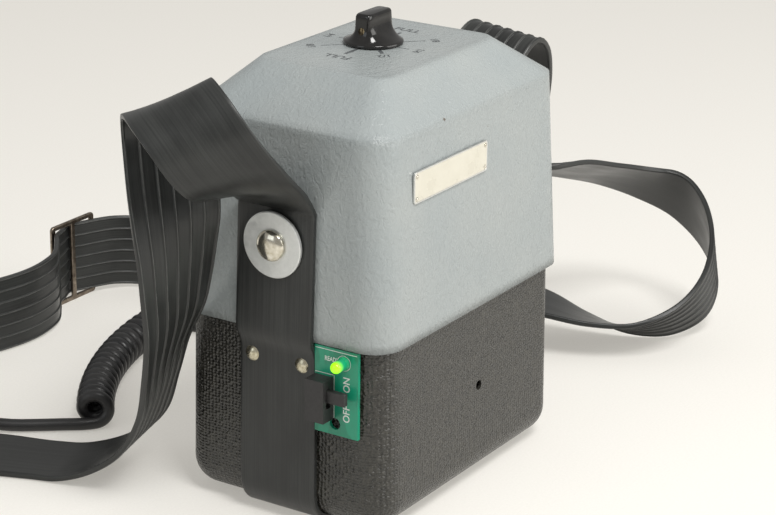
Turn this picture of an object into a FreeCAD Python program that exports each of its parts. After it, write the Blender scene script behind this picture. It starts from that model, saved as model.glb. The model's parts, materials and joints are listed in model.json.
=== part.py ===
"""Shoulder-carried power pack of a portable xenon flash, with strap, curly cord and status board.

Frame: millimetres, +Z up, origin on the floor under the middle of the case.
The long side of the case runs along X, the plate side faces -Y, the strap is bolted to both X ends.
"""
import FreeCAD, Part
import math
import os
import re
import Sketcher

V = FreeCAD.Vector

# Driving dimensions
SIZES = {
    "strap_width": 38.1, "strap_thick": 2.6, "fit_gap": 0.3, "slide_gap": 0.15, "bore_gap": 0.05,
    "case_length": 147.0, "case_depth": 104.5, "case_taper": 0.9, "case_corner": 14.0,
    "case_foot": 13.0, "case_wall": 1.5, "case_top": 94.0,
    "cover_over_length": 4.5, "cover_over_depth": 3.0, "cover_low": 85.2, "cover_lean": 3.8,
    "shoulder_level": 174.3, "roof_level": 192.3, "roof_length": 91.0, "roof_depth": 65.7,
    "roof_corner": 9.0, "cover_wall": 1.6,
    "gasket_height": 4.0, "gasket_thick": 0.9,
    "deck_thick": 1.6, "post_radius": 5.0, "post_reach": 52.0, "post_side": 34.0,
    "screw_radius": 1.9, "head_radius": 3.4, "head_height": 1.6, "screw_grip": 8.0,
    "stud_level": 125.0, "stud_side": -0.2, "stud_radius": 2.5, "dome_radius": 6.8, "dome_height": 3.6,
    "washer_radius": 14.3, "washer_thick": 1.6, "nut_radius": 4.6, "nut_height": 3.2,
    "bracket_width": 30.0, "bracket_thick": 2.0, "bracket_rise": 8.0, "bracket_foot": 16.0,
    "rivet_level": 73.4, "rivet_spread": 12.6, "rivet_head": 3.5, "rivet_dome": 1.5, "rivet_shank": 1.5,
    "burr_radius": 3.6, "burr_thick": 0.8,
    "can_radius": 19.0, "can_height": 64.0, "can_spread": 44.0, "can_side": 22.0, "can_terminal": 2.2,
    "clamp_thick": 1.0, "clamp_height": 12.0, "clamp_foot": 9.0,
    "core_length": 44.0, "core_depth": 20.0, "core_height": 36.0, "coil_depth": 32.0, "coil_height": 22.0,
    "core_side": -26.0, "window_wide": 8.0,
    "cell_radius": 16.5, "cell_height": 61.0, "cell_pitch": 34.0, "cell_nipple": 3.0,
    "tray_thick": 1.2, "tray_lip": 9.0,
    "drive_length": 36.0, "drive_depth": 22.0, "drive_thick": 1.6, "drive_stand": 6.0, "drive_side": -30.0,
    "drive_foot": 2.0,
    "knob_x": 3.0, "knob_y": 4.2, "knob_skirt": 13.0, "knob_height": 13.8, "knob_bar": 8.0,
    "knob_reach": 9.4, "knob_rim": 2.2,
    "knob_lift": 0.6, "shaft_radius": 3.0, "grub_radius": 1.5, "grub_level": 6.4,
    "bush_radius": 4.7, "bush_rise": 2.0, "selector_radius": 17.0, "selector_depth": 12.0,
    "plate_length": 58.0, "plate_height": 13.6, "plate_thick": 0.8, "plate_middle": -23.0,
    "plate_level": 151.4, "pin_radius": 0.9, "pin_head": 0.5,
    "board_length": 38.5, "board_width": 21.5, "board_thick": 1.6, "board_level": 65.5,
    "pad_thick": 1.2, "board_hole": 2.6,
    "lamp_radius": 2.5, "lamp_flange": 2.9, "lamp_height": 8.2, "lamp_side": -33.9, "lamp_level": 79.2,
    "switch_long": 18.5, "switch_wide": 9.2, "switch_high": 7.6,
    "switch_level": 62.6, "slot_deep": 3.6, "lever_rest": 2.2, "lever_long": 5.4, "lever_high": 2.8,
    "lever_reach": 8.7, "lever_travel": 2.7,
    "front_hole": 2.2, "front_hole_x": 4.4, "front_hole_level": 46.4,
    "buckle_x": 82.0, "buckle_y": 243.0, "buckle_height": 44.4, "buckle_length": 34.0,
    "buckle_bar": 3.0, "buckle_thick": 1.8,
    "wire_radius": 2.9, "curl_radius": 6.2, "curl_pitch": 6.7, "curl_count": 20,
    "gland_radius": 6.5, "gland_length": 9.0, "gland_x": 50.0, "gland_level": 24.0,
    "plug_radius": 8.5, "plug_length": 40.0,
}

# The cover laps over the case, so its size follows the case and a lap
TIED = {
    "cover_length": "=case_length + cover_over_length", "cover_depth": "=case_depth + cover_over_depth",
}

# Strap route: middle of the strap (x, y, z), then the direction across it (x, y, z)
STRAP_ROUTE = [
    (-75.0, -0.2, 140.5, 0.00, -1.00, 0.00), (-83.0, -0.3, 148.0, 0.10, -0.99, 0.08),
    (-97.0, -1.5, 154.3, 0.27, -0.91, 0.31), (-110.0, -2.2, 162.5, 0.39, -0.78, 0.49),
    (-119.0, 0.6, 173.0, 0.52, -0.66, 0.57), (-121.7, 8.8, 184.6, 0.64, -0.59, 0.54),
    (-117.0, 20.3, 190.4, 0.70, -0.57, 0.46), (-106.7, 30.5, 187.6, 0.73, -0.64, 0.30),
    (-97.5, 38.3, 179.5, 0.69, -0.74, 0.13), (-95.0, 39.8, 168.0, 0.67, -0.77, 0.07),
    (-100.2, 34.2, 153.0, 0.69, -0.71, 0.04), (-104.4, 29.5, 138.0, 0.81, -0.55, 0.01),
    (-104.3, 29.2, 124.0, 0.92, -0.35, 0.05), (-102.8, 30.8, 107.0, 0.96, -0.20, 0.14),
    (-99.6, 34.4, 90.4, 0.97, -0.07, 0.22), (-94.0, 43.8, 70.0, 0.93, 0.08, 0.30),
    (-87.2, 54.2, 48.0, 0.95, 0.14, 0.31), (-82.2, 67.3, 26.6, 0.97, 0.08, 0.21),
    (-81.4, 85.0, 11.6, 0.98, 0.12, 0.10), (-84.0, 104.0, 3.3, 0.97, 0.24, 0.03),
    (-88.6, 120.5, 1.7, 0.95, 0.32, 0.00), (-97.5, 140.5, 2.5, 0.91, 0.42, 0.03),
    (-114.0, 163.0, 4.3, 0.88, 0.46, 0.10), (-126.0, 187.0, 8.6, 0.86, 0.35, 0.37),
    (-133.0, 212.0, 14.6, 0.71, 0.07, 0.70), (-129.0, 236.0, 18.4, 0.36, -0.22, 0.90),
    (-110.0, 250.0, 19.4, 0.06, -0.12, 0.99), (-82.0, 252.5, 19.8, 0.00, 0.00, 1.00),
    (-48.0, 243.0, 19.8, 0.00, 0.00, 1.00), (-12.0, 229.0, 19.8, 0.00, 0.00, 1.00),
    (20.0, 221.5, 20.0, 0.00, 0.00, 1.00), (44.0, 224.0, 21.0, 0.00, 0.00, 1.00),
    (58.0, 233.0, 22.2, 0.00, 0.00, 1.00), (66.0, 239.8, 22.2, 0.00, 0.00, 1.00),
    (74.0, 243.0, 22.2, 0.00, 0.00, 1.00), (82.0, 246.2, 22.2, 0.00, 0.00, 1.00),
    (90.0, 243.0, 22.2, 0.00, 0.00, 1.00), (98.0, 239.8, 22.2, 0.00, 0.00, 1.00),
    (107.0, 235.0, 22.0, 0.00, 0.00, 1.00), (116.0, 226.0, 21.0, 0.00, 0.00, 1.00),
    (121.5, 208.0, 20.4, -0.05, 0.00, 1.00), (124.5, 180.0, 20.0, -0.28, -0.04, 0.96),
    (129.0, 145.0, 20.0, -0.52, -0.08, 0.85), (135.0, 108.0, 20.2, -0.73, -0.12, 0.67),
    (142.0, 73.0, 21.8, -0.88, -0.19, 0.43), (150.0, 45.0, 25.0, -0.95, -0.27, 0.15),
    (157.0, 24.0, 26.5, -0.94, -0.32, -0.02), (164.0, 4.0, 23.0, -0.92, -0.38, 0.05),
    (172.0, -16.0, 16.5, -0.86, -0.46, 0.22), (183.0, -36.0, 12.5, -0.77, -0.46, 0.44),
    (197.0, -52.0, 16.0, -0.65, -0.37, 0.66), (215.0, -60.0, 25.5, -0.60, -0.20, 0.77),
    (233.0, -56.0, 38.5, -0.60, -0.18, 0.78), (246.5, -43.0, 51.0, -0.56, -0.30, 0.77),
    (252.5, -26.5, 61.0, -0.50, -0.50, 0.71), (248.0, -11.0, 67.0, -0.40, -0.72, 0.57),
    (233.5, 0.0, 73.5, -0.28, -0.86, 0.43), (212.0, 6.5, 80.5, -0.16, -0.92, 0.36),
    (189.0, 11.0, 87.5, -0.08, -0.94, 0.33), (167.0, 13.0, 93.0, -0.09, -0.96, 0.26),
    (148.0, 13.0, 104.0, -0.17, -0.98, -0.05), (137.0, 9.0, 121.0, -0.26, -0.92, -0.30),
    (128.5, 3.0, 143.0, -0.20, -0.94, -0.27), (120.5, -1.5, 161.0, -0.12, -0.97, -0.21),
    (111.0, -4.0, 174.0, -0.05, -0.99, -0.14), (100.5, -4.0, 178.5, -0.02, -1.00, -0.07),
    (90.0, -2.4, 171.5, 0.00, -1.00, -0.02), (83.5, -0.4, 157.0, 0.00, -1.00, 0.00),
    (75.0, -0.2, 140.5, 0.00, -1.00, 0.00),
]
STRAP_PIECES = [
    ("strap_left_rise", 0, 8), ("strap_left_fall", 8, 16),
    ("strap_left_floor", 16, 21), ("strap_outer_bend", 21, 27),
    ("strap_outer_run", 27, 32), ("strap_buckle_pass", 32, 39),
    ("strap_rear_low", 39, 44), ("strap_rear_twist", 44, 49),
    ("strap_right_low", 49, 54), ("strap_right_top", 54, 58),
    ("strap_right_drape", 58, 63), ("strap_right_crest", 63, 68),
]

# Cord routes: middle of the cord from the case outwards, then from the coil to the plug
LEAD_ROUTE = [
    (50.0, 60.9, 24.0), (50.0, 69.0, 24.0), (51.0, 79.0, 22.0), (54.0, 91.0, 16.5), (59.5, 104.0, 10.0),
    (66.5, 117.0, 5.2), (73.5, 129.5, 3.1), (79.5, 141.5, 3.1),
]
TAIL_ROUTE = [
    (-54.0, 134.3, 3.1), (-62.5, 145.0, 3.1), (-71.0, 156.0, 3.3), (-77.5, 168.0, 5.0), (-81.0, 179.0, 8.7),
]
PLUG_TURN = 106.0


doc = FreeCAD.newDocument("PowerPack")
sheet = doc.addObject("Spreadsheet::Sheet", "Sizes")
for row, (alias, number) in enumerate((SIZES | TIED).items(), start=1):
    sheet.set(f"A{row}", alias)
    sheet.set(f"B{row}", str(number))
    sheet.setAlias(f"B{row}", alias)
doc.recompute()

NODES = []
ALIAS = re.compile(r"\b(" + "|".join(SIZES | TIED) + r")\b")
TURN = {
    "z": FreeCAD.Rotation(), "-z": FreeCAD.Rotation(V(1, 0, 0), 180),
    "x": FreeCAD.Rotation(V(0, 1, 0), 90), "-x": FreeCAD.Rotation(V(0, 1, 0), -90),
    "y": FreeCAD.Rotation(V(1, 0, 0), -90), "-y": FreeCAD.Rotation(V(1, 0, 0), 90),
}


def size(alias):
    """Value of one driving dimension, read from the sheet."""
    return float(sheet.get(alias))


def bind(thing, prop, formula):
    """Tie a property to a formula written with the sheet's aliases."""
    thing.setExpression(prop, ALIAS.sub(r"Sizes.\1", str(formula)))


def place(thing, x, y, z, axis="z"):
    """Put a thing at a point given by three formulas, its own Z turned to the named axis."""
    thing.Placement = FreeCAD.Placement(V(0, 0, 0), TURN[axis])
    for prop, formula in (("x", x), ("y", y), ("z", z)):
        bind(thing, "Placement.Base." + prop, formula)
    return thing


def box(name, length, width, height, x, y, z):
    """Box centred on x and y, standing on z."""
    thing = doc.addObject("Part::Box", name)
    bind(thing, "Length", length)
    bind(thing, "Width", width)
    bind(thing, "Height", height)
    return place(thing, f"({x}) - ({length}) / 2", f"({y}) - ({width}) / 2", z)


def rod(name, radius, height, x, y, z, axis="z"):
    """Cylinder that starts at a point and runs along the named axis."""
    thing = doc.addObject("Part::Cylinder", name)
    bind(thing, "Radius", radius)
    bind(thing, "Height", height)
    return place(thing, x, y, z, axis)


def cone(name, low, high, height, x, y, z, axis="z"):
    """Cone that starts with one radius and ends with another."""
    thing = doc.addObject("Part::Cone", name)
    bind(thing, "Radius1", low)
    bind(thing, "Radius2", high)
    bind(thing, "Height", height)
    return place(thing, x, y, z, axis)


def dome(name, radius, height, x, y, z, axis):
    """Low button head: the cap of a ball, flat side at the point."""
    ball = f"(({radius})^2 + ({height})^2) / (2 * ({height}))"
    sphere = doc.addObject("Part::Sphere", name + "_ball")
    bind(sphere, "Radius", ball)
    sign = "-" if axis.startswith("-") else "+"
    along = axis[-1]
    spot = {"x": x, "y": y, "z": z}
    spot[along] = f"({spot[along]}) {sign} (({height}) - {ball})"
    place(sphere, spot["x"], spot["y"], spot["z"])
    block = rod(name + "_block", radius, height, x, y, z, axis)
    return common(name, sphere, block)


def common(name, first, second):
    thing = doc.addObject("Part::Common", name)
    thing.Base = first
    thing.Tool = second
    return thing


def fuse(name, *things):
    thing = doc.addObject("Part::MultiFuse", name)
    thing.Shapes = list(things)
    return thing


def cut(name, base, *tools):
    thing = doc.addObject("Part::Cut", name)
    thing.Base = base
    thing.Tool = tools[0] if len(tools) == 1 else fuse(name + "_tools", *tools)
    return thing


def group(name, *things):
    thing = doc.addObject("Part::Compound", name)
    thing.Links = list(things)
    return thing


def made(name, shape):
    """Piece whose shape is worked out below from the sheet's sizes."""
    thing = doc.addObject("Part::Feature", name)
    thing.Shape = shape
    return thing


def node(thing, label):
    """Name a finished sub-part and list it for writing."""
    thing.Label = label
    NODES.append(thing)
    return thing


def rounded_sketch(body, name, length, depth, corner, level="0"):
    """Rectangle with round corners about the Z axis, at a level above the body's XY plane."""
    plane = next(item for item in body.Origin.OriginFeatures if item.Role == "XY_Plane")
    sketch = body.newObject("Sketcher::SketchObject", name)
    sketch.AttachmentSupport = [(plane, "")]
    sketch.MapMode = "FlatFace"
    bind(sketch, "AttachmentOffset.Base.z", level)
    flat = [((-30, -20), (30, -20)), ((40, -10), (40, 10)), ((30, 20), (-30, 20)), ((-40, 10), (-40, -10))]
    for start, end in flat:
        sketch.addGeometry(Part.LineSegment(V(*start, 0), V(*end, 0)), False)
    for centre, start in (((30, -10), -90), ((30, 10), 0), ((-30, 10), 90), ((-30, -10), 180)):
        circle = Part.Circle(V(*centre, 0), V(0, 0, 1), 10)
        arc = Part.ArcOfCircle(circle, math.radians(start), math.radians(start + 90))
        sketch.addGeometry(arc, False)
    for side in range(4):
        arc = 4 + side
        sketch.addConstraint(Sketcher.Constraint("Tangent", side, 2, arc, 1))
        sketch.addConstraint(Sketcher.Constraint("Tangent", arc, 2, (side + 1) % 4, 1))
        sketch.addConstraint(Sketcher.Constraint("Vertical" if side % 2 else "Horizontal", side))
    for arc in (5, 6, 7):
        sketch.addConstraint(Sketcher.Constraint("Equal", 4, arc))
    sketch.addConstraint(Sketcher.Constraint("Symmetric", 0, 1, 2, 1, -1, 1))
    for kind, data, formula in (
        ("DistanceX", (3, 1, 1, 1, 80.0), length),
        ("DistanceY", (0, 1, 2, 1, 40.0), depth),
        ("Radius", (4, 10.0), corner),
    ):
        index = sketch.addConstraint(Sketcher.Constraint(kind, *data))
        sketch.renameConstraint(index, f"{name}_{kind}")
        bind(sketch, f"Constraints[{index}]", formula)
    return sketch


def rounded_block(name, length, depth, corner, height, x="0", y="0", z="0", taper="0", foot=None):
    """Padded rounded rectangle, drawn in or out as it rises, its lower edge rounded by foot."""
    body = doc.addObject("PartDesign::Body", name)
    sketch = rounded_sketch(body, name + "_outline", length, depth, corner)
    pad = body.newObject("PartDesign::Pad", name + "_pad")
    pad.Profile = sketch
    bind(pad, "Length", height)
    bind(pad, "TaperAngle", taper)
    doc.recompute()
    if foot:
        low = [
            f"Edge{number}" for number, edge in enumerate(pad.Shape.Edges, start=1)
            if max(abs(vertex.Z) for vertex in edge.Vertexes) < 1e-6
        ]
        fillet = body.newObject("PartDesign::Fillet", name + "_foot")
        fillet.Base = (pad, low)
        bind(fillet, "Radius", foot)
    place(body, x, y, z)
    return body


def stepped_loft(name, stages, z):
    """Straight-sided body through rounded rectangles (length, depth, corner, level)."""
    body = doc.addObject("PartDesign::Body", name)
    rings = [rounded_sketch(body, f"{name}_ring{number}", *stage) for number, stage in enumerate(stages)]
    loft = body.newObject("PartDesign::AdditiveLoft", name + "_loft")
    loft.Profile = rings[0]
    loft.Sections = rings[1:]
    loft.Ruled = True
    place(body, "0", "0", z)
    return body


def hexagon(name, radius, height, x, y, z, axis):
    """Six-sided nut blank."""
    thing = doc.addObject("Part::Prism", name)
    thing.Polygon = 6
    bind(thing, "Circumradius", radius)
    bind(thing, "Height", height)
    return place(thing, x, y, z, axis)


# Case levels and half lengths that several pieces share
CASE_LOW = "strap_thick"
CASE_FLOOR = "(strap_thick + case_wall)"
CASE_RISE = "(case_top - strap_thick)"
WASHER_LOW = "(stud_level - washer_radius)"
WALL_X = f"(cover_length / 2 - cover_lean * ({WASHER_LOW} - cover_low) / (shoulder_level - cover_low))"
DECK_TOP = "(case_top + deck_thick)"
CASE_SIDE = "(case_length / 2 - (rivet_level - strap_thick) * tan(case_taper))"


def housing():
    """Black lower case, grey cover, rim seal and the blank plate with its pins."""
    outer = rounded_block(
        "case_outer", "case_length", "case_depth", "case_corner", CASE_RISE, z=CASE_LOW,
        taper="-case_taper", foot="case_foot")
    inner = rounded_block(
        "case_inner", "case_length - 2 * case_wall", "case_depth - 2 * case_wall",
        "case_corner - case_wall", CASE_RISE, z=CASE_FLOOR, taper="-case_taper",
        foot="case_foot - case_wall")
    holes = [rod(
        "front_hole_tool", "front_hole", "case_depth / 2", "front_hole_x", "0", "front_hole_level", "-y")]
    holes.append(rod(
        "gland_hole", "gland_radius - 2 + bore_gap", "case_depth / 2", "gland_x", "0", "gland_level", "y"))
    for end in (-1, 1):
        for side in (-1, 1):
            holes.append(rod(
                f"rivet_hole_{end}_{side}", "rivet_shank + bore_gap", "case_length / 2", "0",
                f"{side} * rivet_spread", "rivet_level", "x" if end > 0 else "-x"))
            holes.append(rod(
                f"post_hole_{end}_{side}", "screw_radius + bore_gap", "2 * case_wall",
                f"{end} * post_reach", f"{side} * post_side", "strap_thick - case_wall / 2"))
    node(cut("case_shell", outer, inner, *holes), "lower_case")

    lean = "cover_lean"
    shell = stepped_loft("cover_outer", (
        ("cover_length", "cover_depth", "case_corner", "0"),
        (f"cover_length - 2 * {lean}", f"cover_depth - 2 * {lean}", "case_corner",
         "shoulder_level - cover_low"),
        ("roof_length", "roof_depth", "roof_corner", "roof_level - cover_low"),
    ), "cover_low")
    room = stepped_loft("cover_room", (
        ("cover_length - 2 * cover_wall", "cover_depth - 2 * cover_wall",
         "case_corner - cover_wall", "0"),
        (f"cover_length - 2 * {lean} - 2 * cover_wall", f"cover_depth - 2 * {lean} - 2 * cover_wall",
         "case_corner - cover_wall", "shoulder_level - cover_low - cover_wall / 2"),
        ("roof_length - cover_wall", "roof_depth - cover_wall", "roof_corner",
         "roof_level - cover_low - cover_wall"),
    ), "cover_low")
    doors = [
        rod("bush_hole", "bush_radius + bore_gap", "4 * cover_wall", "knob_x", "knob_y",
            "roof_level - 3 * cover_wall"),
        rod("stud_hole_left", "stud_radius + bore_gap", "cover_length / 2", "0", "stud_side",
            "stud_level", "-x"),
        rod("stud_hole_right", "stud_radius + bore_gap", "cover_length / 2", "0", "stud_side",
            "stud_level", "x"),
    ]
    node(cut("cover_shell", shell, room, *doors), "top_cover")

    seal_length = "(case_length - 2 * (cover_low - strap_thick) * tan(case_taper))"
    seal_depth = "(case_depth - 2 * (cover_low - strap_thick) * tan(case_taper))"
    seal_corner = "(case_corner - (cover_low - strap_thick) * tan(case_taper))"
    ring = rounded_block(
        "seal_outer", f"{seal_length} + 2 * gasket_thick", f"{seal_depth} + 2 * gasket_thick",
        f"{seal_corner} + gasket_thick", "gasket_height", z="cover_low")
    hole = rounded_block(
        "seal_inner", seal_length, seal_depth, seal_corner, "gasket_height", z="cover_low")
    node(cut("rim_seal_ring", ring, hole), "rim_seal")


def plate():
    """Blank cream plate on the front of the cover with four drive pins."""
    lean_at = "cover_lean * (plate_level - cover_low) / (shoulder_level - cover_low)"
    face = f"(-cover_depth / 2 + {lean_at})"
    half_lean = "cover_lean * plate_height / 2 / (shoulder_level - cover_low)"
    sheet_face = f"({face} - {half_lean} - plate_thick / 2)"
    body = box("plate_blank", "plate_length", "plate_thick", "plate_height", "plate_middle",
               sheet_face, "plate_level - plate_height / 2")
    node(body, "blank_nameplate")
    pins = []
    for across in (-1, 1):
        for up in (-1, 1):
            pins.append(dome(
                f"plate_pin_{across}_{up}", "pin_radius", "pin_head",
                f"plate_middle + {across} * (plate_length / 2 - 2)", f"{sheet_face} - plate_thick / 2",
                f"plate_level + {up} * (plate_height / 2 - 2)", "-y"))
    node(group("plate_pin_set", *pins), "nameplate_pins")


def chassis():
    """Deck across the case rim, posts that hold it down, and upright brackets for the strap studs."""
    rim = "2 * (case_top - strap_thick) * tan(case_taper)"
    deck = rounded_block(
        "deck_plate", f"case_length - {rim}", f"case_depth - {rim}", "case_corner", "deck_thick",
        z="case_top")
    drills = []
    posts = []
    deck_screws = []
    floor_screws = []
    for end in (-1, 1):
        for side in (-1, 1):
            tag = f"{end}_{side}".replace("-", "m")
            x = f"{end} * post_reach"
            y = f"{side} * post_side"
            drills.append(rod(
                "deck_hole_" + tag, "screw_radius + bore_gap", "3 * deck_thick", x, y,
                "case_top - deck_thick"))
            blank = rod("post_blank_" + tag, "post_radius", f"case_top - {CASE_FLOOR}", x, y, CASE_FLOOR)
            bore = rod("post_bore_" + tag, "screw_radius", f"case_top - {CASE_FLOOR}", x, y, CASE_FLOOR)
            posts.append(cut("post_" + tag, blank, bore))
            shank = rod("deck_shank_" + tag, "screw_radius", "screw_grip", x, y, f"{DECK_TOP} - screw_grip")
            head = dome("deck_head_" + tag, "head_radius", "head_height", x, y, DECK_TOP, "z")
            deck_screws.append(fuse("deck_screw_" + tag, shank, head))
            low = rod("floor_shank_" + tag, "screw_radius", "screw_grip", x, y, CASE_LOW)
            button = dome("floor_head_" + tag, "head_radius", "head_height", x, y, CASE_LOW, "-z")
            floor_screws.append(fuse("floor_screw_" + tag, low, button))
    drills.append(rod("lead_hole", "gland_radius", "3 * deck_thick", "0", "0", "case_top - deck_thick"))
    node(cut("deck_drilled", deck, *drills), "chassis_deck")
    node(group("post_set", *posts), "chassis_posts")
    node(group("deck_screw_set", *deck_screws), "deck_screws")
    node(group("floor_screw_set", *floor_screws), "post_screws")

    inner = "cover_length / 2 - cover_wall - fit_gap"
    high = "(stud_level + bracket_rise)"
    face = f"({inner} - cover_lean * ({high} - cover_low) / (shoulder_level - cover_low))"
    brackets = []
    feet = []
    for end in (-1, 1):
        tag = "right" if end > 0 else "left"
        upright = box(
            f"bracket_wall_{tag}", "bracket_thick", "bracket_width", f"{high} - {DECK_TOP}",
            f"{end} * ({face} - bracket_thick / 2)", "stud_side", DECK_TOP)
        foot = box(
            f"bracket_foot_{tag}", "bracket_foot", "bracket_width", "bracket_thick",
            f"{end} * ({face} - bracket_foot / 2)", "stud_side", DECK_TOP)
        hole = rod(
            f"bracket_hole_{tag}", "stud_radius + bore_gap", "cover_length / 2", "0", "stud_side",
            "stud_level", "x" if end > 0 else "-x")
        brackets.append(cut(f"bracket_{tag}", fuse(f"bracket_body_{tag}", upright, foot), hole))
        for side in (-1, 1):
            feet.append(dome(
                f"bracket_screw_{tag}_{side}", "head_radius", "head_height",
                f"{end} * ({face} - bracket_foot / 2 - bracket_thick / 2)",
                f"stud_side + {side} * bracket_width / 4", f"{DECK_TOP} + bracket_thick", "z"))
    node(group("bracket_pair", *brackets), "stud_brackets")
    node(group("bracket_screw_set", *feet), "bracket_screws")
    return face


def strap_fixings(face):
    """Washer, polished dome stud and nut at each end, and the riveted strap on the lower case."""
    washers = []
    studs = []
    nuts = []
    rivets = []
    burrs = []
    for end in (-1, 1):
        tag = "right" if end > 0 else "left"
        axis = "x" if end > 0 else "-x"
        back = "-x" if end > 0 else "x"
        outside = f"({STRAP_FACE} + strap_thick)"
        disc = rod(f"washer_disc_{tag}", "washer_radius", "washer_thick", f"{end} * {outside}",
                   "stud_side", "stud_level", axis)
        eye = rod(f"washer_eye_{tag}", "stud_radius + bore_gap", "washer_thick", f"{end} * {outside}",
                  "stud_side", "stud_level", axis)
        washers.append(cut(f"washer_{tag}", disc, eye))
        seat = f"({outside} + washer_thick)"
        nut_face = f"({face} - bracket_thick)"
        head = dome(f"stud_head_{tag}", "dome_radius", "dome_height", f"{end} * {seat}", "stud_side",
                    "stud_level", axis)
        shank = rod(f"stud_shank_{tag}", "stud_radius", f"{seat} - {nut_face} + nut_height + 1.5",
                    f"{end} * {seat}", "stud_side", "stud_level", back)
        studs.append(fuse(f"stud_{tag}", head, shank))
        blank = hexagon(f"nut_blank_{tag}", "nut_radius", "nut_height", f"{end} * {nut_face}",
                        "stud_side", "stud_level", back)
        bore = rod(f"nut_bore_{tag}", "stud_radius", "nut_height", f"{end} * {nut_face}", "stud_side",
                   "stud_level", back)
        nuts.append(cut(f"nut_{tag}", blank, bore))
        for side in (-1, 1):
            y = f"{side} * rivet_spread"
            skin = f"({STRAP_FOOT} + strap_thick)"
            cap = dome(f"rivet_cap_{tag}_{side}", "rivet_head", "rivet_dome", f"{end} * {skin}", y,
                       "rivet_level", axis)
            body = rod(f"rivet_body_{tag}_{side}", "rivet_shank",
                       f"{skin} - {CASE_SIDE} + case_wall + burr_thick + 1.2", f"{end} * {skin}", y,
                       "rivet_level", back)
            rivets.append(fuse(f"rivet_{tag}_{side}", cap, body))
            inside = f"({CASE_SIDE} - case_wall - 0.1)"
            ring = rod(f"burr_ring_{tag}_{side}", "burr_radius", "burr_thick", f"{end} * {inside}", y,
                       "rivet_level", back)
            core = rod(f"burr_core_{tag}_{side}", "rivet_shank + bore_gap", "burr_thick",
                       f"{end} * {inside}", y, "rivet_level", back)
            burrs.append(cut(f"burr_{tag}_{side}", ring, core))
    node(group("washer_pair", *washers), "strap_washers")
    node(group("stud_pair", *studs), "strap_studs")
    node(group("nut_pair", *nuts), "stud_nuts")
    node(group("rivet_set", *rivets), "strap_rivets")
    node(group("burr_set", *burrs), "rivet_burrs")


STRAP_FACE = f"({WALL_X} + fit_gap)"
STRAP_FOOT = f"({CASE_SIDE} + fit_gap)"


def strap_sling():
    """Strap from one washer, down the side, under the case and up to the other washer."""
    gap = size("fit_gap")
    thick = size("strap_thick")
    top = STRAP_ROUTE[0][2]
    lean = size("cover_lean") / (size("shoulder_level") - size("cover_low"))
    taper = math.tan(math.radians(size("case_taper")))

    def cover_half(z):
        return size("cover_length") / 2 - (z - size("cover_low")) * lean + gap

    def case_half(z):
        return size("case_length") / 2 - (z - thick) * taper + gap

    foot = size("case_foot")
    low = size("cover_low") - 5.0
    bend = thick + foot
    side = [(cover_half(top), top), (cover_half(size("cover_low")), size("cover_low") - gap),
            (case_half(low), low), (case_half(bend), bend)]
    right = [V(x, 0, z) for x, z in side]
    left = [V(-x, 0, z) for x, z in side]
    reach = case_half(bend)
    turn = math.sqrt(0.5)
    under = V(reach - foot, 0, thick)
    middle = V(reach - foot + foot * turn, 0, bend - foot * turn)
    edges = [Part.makeLine(left[k], left[k + 1]) for k in range(3)]
    mirror = V(-under.x, 0, under.z)
    edges.append(Part.Arc(left[3], V(-middle.x, 0, middle.z), mirror).toShape())
    edges.append(Part.makeLine(mirror, under))
    edges.append(Part.Arc(under, middle, right[3]).toShape())
    edges += [Part.makeLine(right[k + 1], right[k]) for k in (2, 1, 0)]
    band = Part.Wire(edges).makeOffset2D(thick, 0, True, True, False)
    if band.BoundBox.ZMin > thick / 2:
        band = Part.Wire(edges).makeOffset2D(-thick, 0, True, True, False)
    solid = band.extrude(V(0, size("strap_width"), 0))
    solid.translate(V(0, size("stud_side") - size("strap_width") / 2, 0))
    drills = []
    for end in (-1, 1):
        along = V(end, 0, 0)
        drills.append(Part.makeCylinder(
            size("stud_radius") + size("bore_gap"), size("cover_length"),
            V(0, size("stud_side"), size("stud_level")), along))
        for across in (-1, 1):
            drills.append(Part.makeCylinder(
                size("rivet_shank") + size("bore_gap"), size("cover_length"),
                V(0, across * size("rivet_spread"), size("rivet_level")), along))
    node(made("sling", solid.cut(drills)), "strap_sling")


def smooth(route, steps):
    """Points on a curve through every station, with a few steps between neighbours."""
    ends = [[2 * a - b for a, b in zip(route[0], route[1])], [2 * a - b for a, b in zip(route[-1], route[-2])]]
    line = [ends[0], *route, ends[1]]
    points = []
    for k in range(1, len(line) - 2):
        before, start, end, after = line[k - 1:k + 3]
        for step in range(steps):
            t = step / steps
            points.append([
                b + 0.5 * t * (c - a + t * (2 * a - 5 * b + 4 * c - d + t * (3 * b - a - 3 * c + d)))
                for a, b, c, d in zip(before, start, end, after)
            ])
    points.append(list(route[-1]))
    return points


def strap_frames(steps):
    """Middle, across and outward directions along the whole free strap."""
    points = smooth(STRAP_ROUTE, steps)
    frames = []
    for k, point in enumerate(points):
        middle = V(*point[:3])
        ahead = V(*points[min(k + 1, len(points) - 1)][:3]) - V(*points[max(k - 1, 0)][:3])
        across = V(*point[3:])
        if k == 0:
            ahead = V(0, 0, 1)
        if k == len(points) - 1:
            ahead = V(0, 0, -1)
        ahead.normalize()
        across = across - ahead * across.dot(ahead)
        across.normalize()
        frames.append((middle, across, ahead.cross(across)))
    return frames


def free_strap():
    """The rest of the strap: two hanging loops and the stretches on the floor, piece by piece."""
    steps = 3
    frames = strap_frames(steps)
    half = size("strap_width") / 2
    rise = size("strap_thick") / 2
    for name, first, last in STRAP_PIECES:
        rings = []
        for middle, across, outward in frames[first * steps:last * steps + 1]:
            corners = [middle + across * (half * a) + outward * (rise * b)
                       for a, b in ((1, 1), (-1, 1), (-1, -1), (1, -1), (1, 1))]
            rings.append(Part.makePolygon(corners))
        node(made(name + "_band", Part.makeLoft(rings, True, True)), name)


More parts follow.
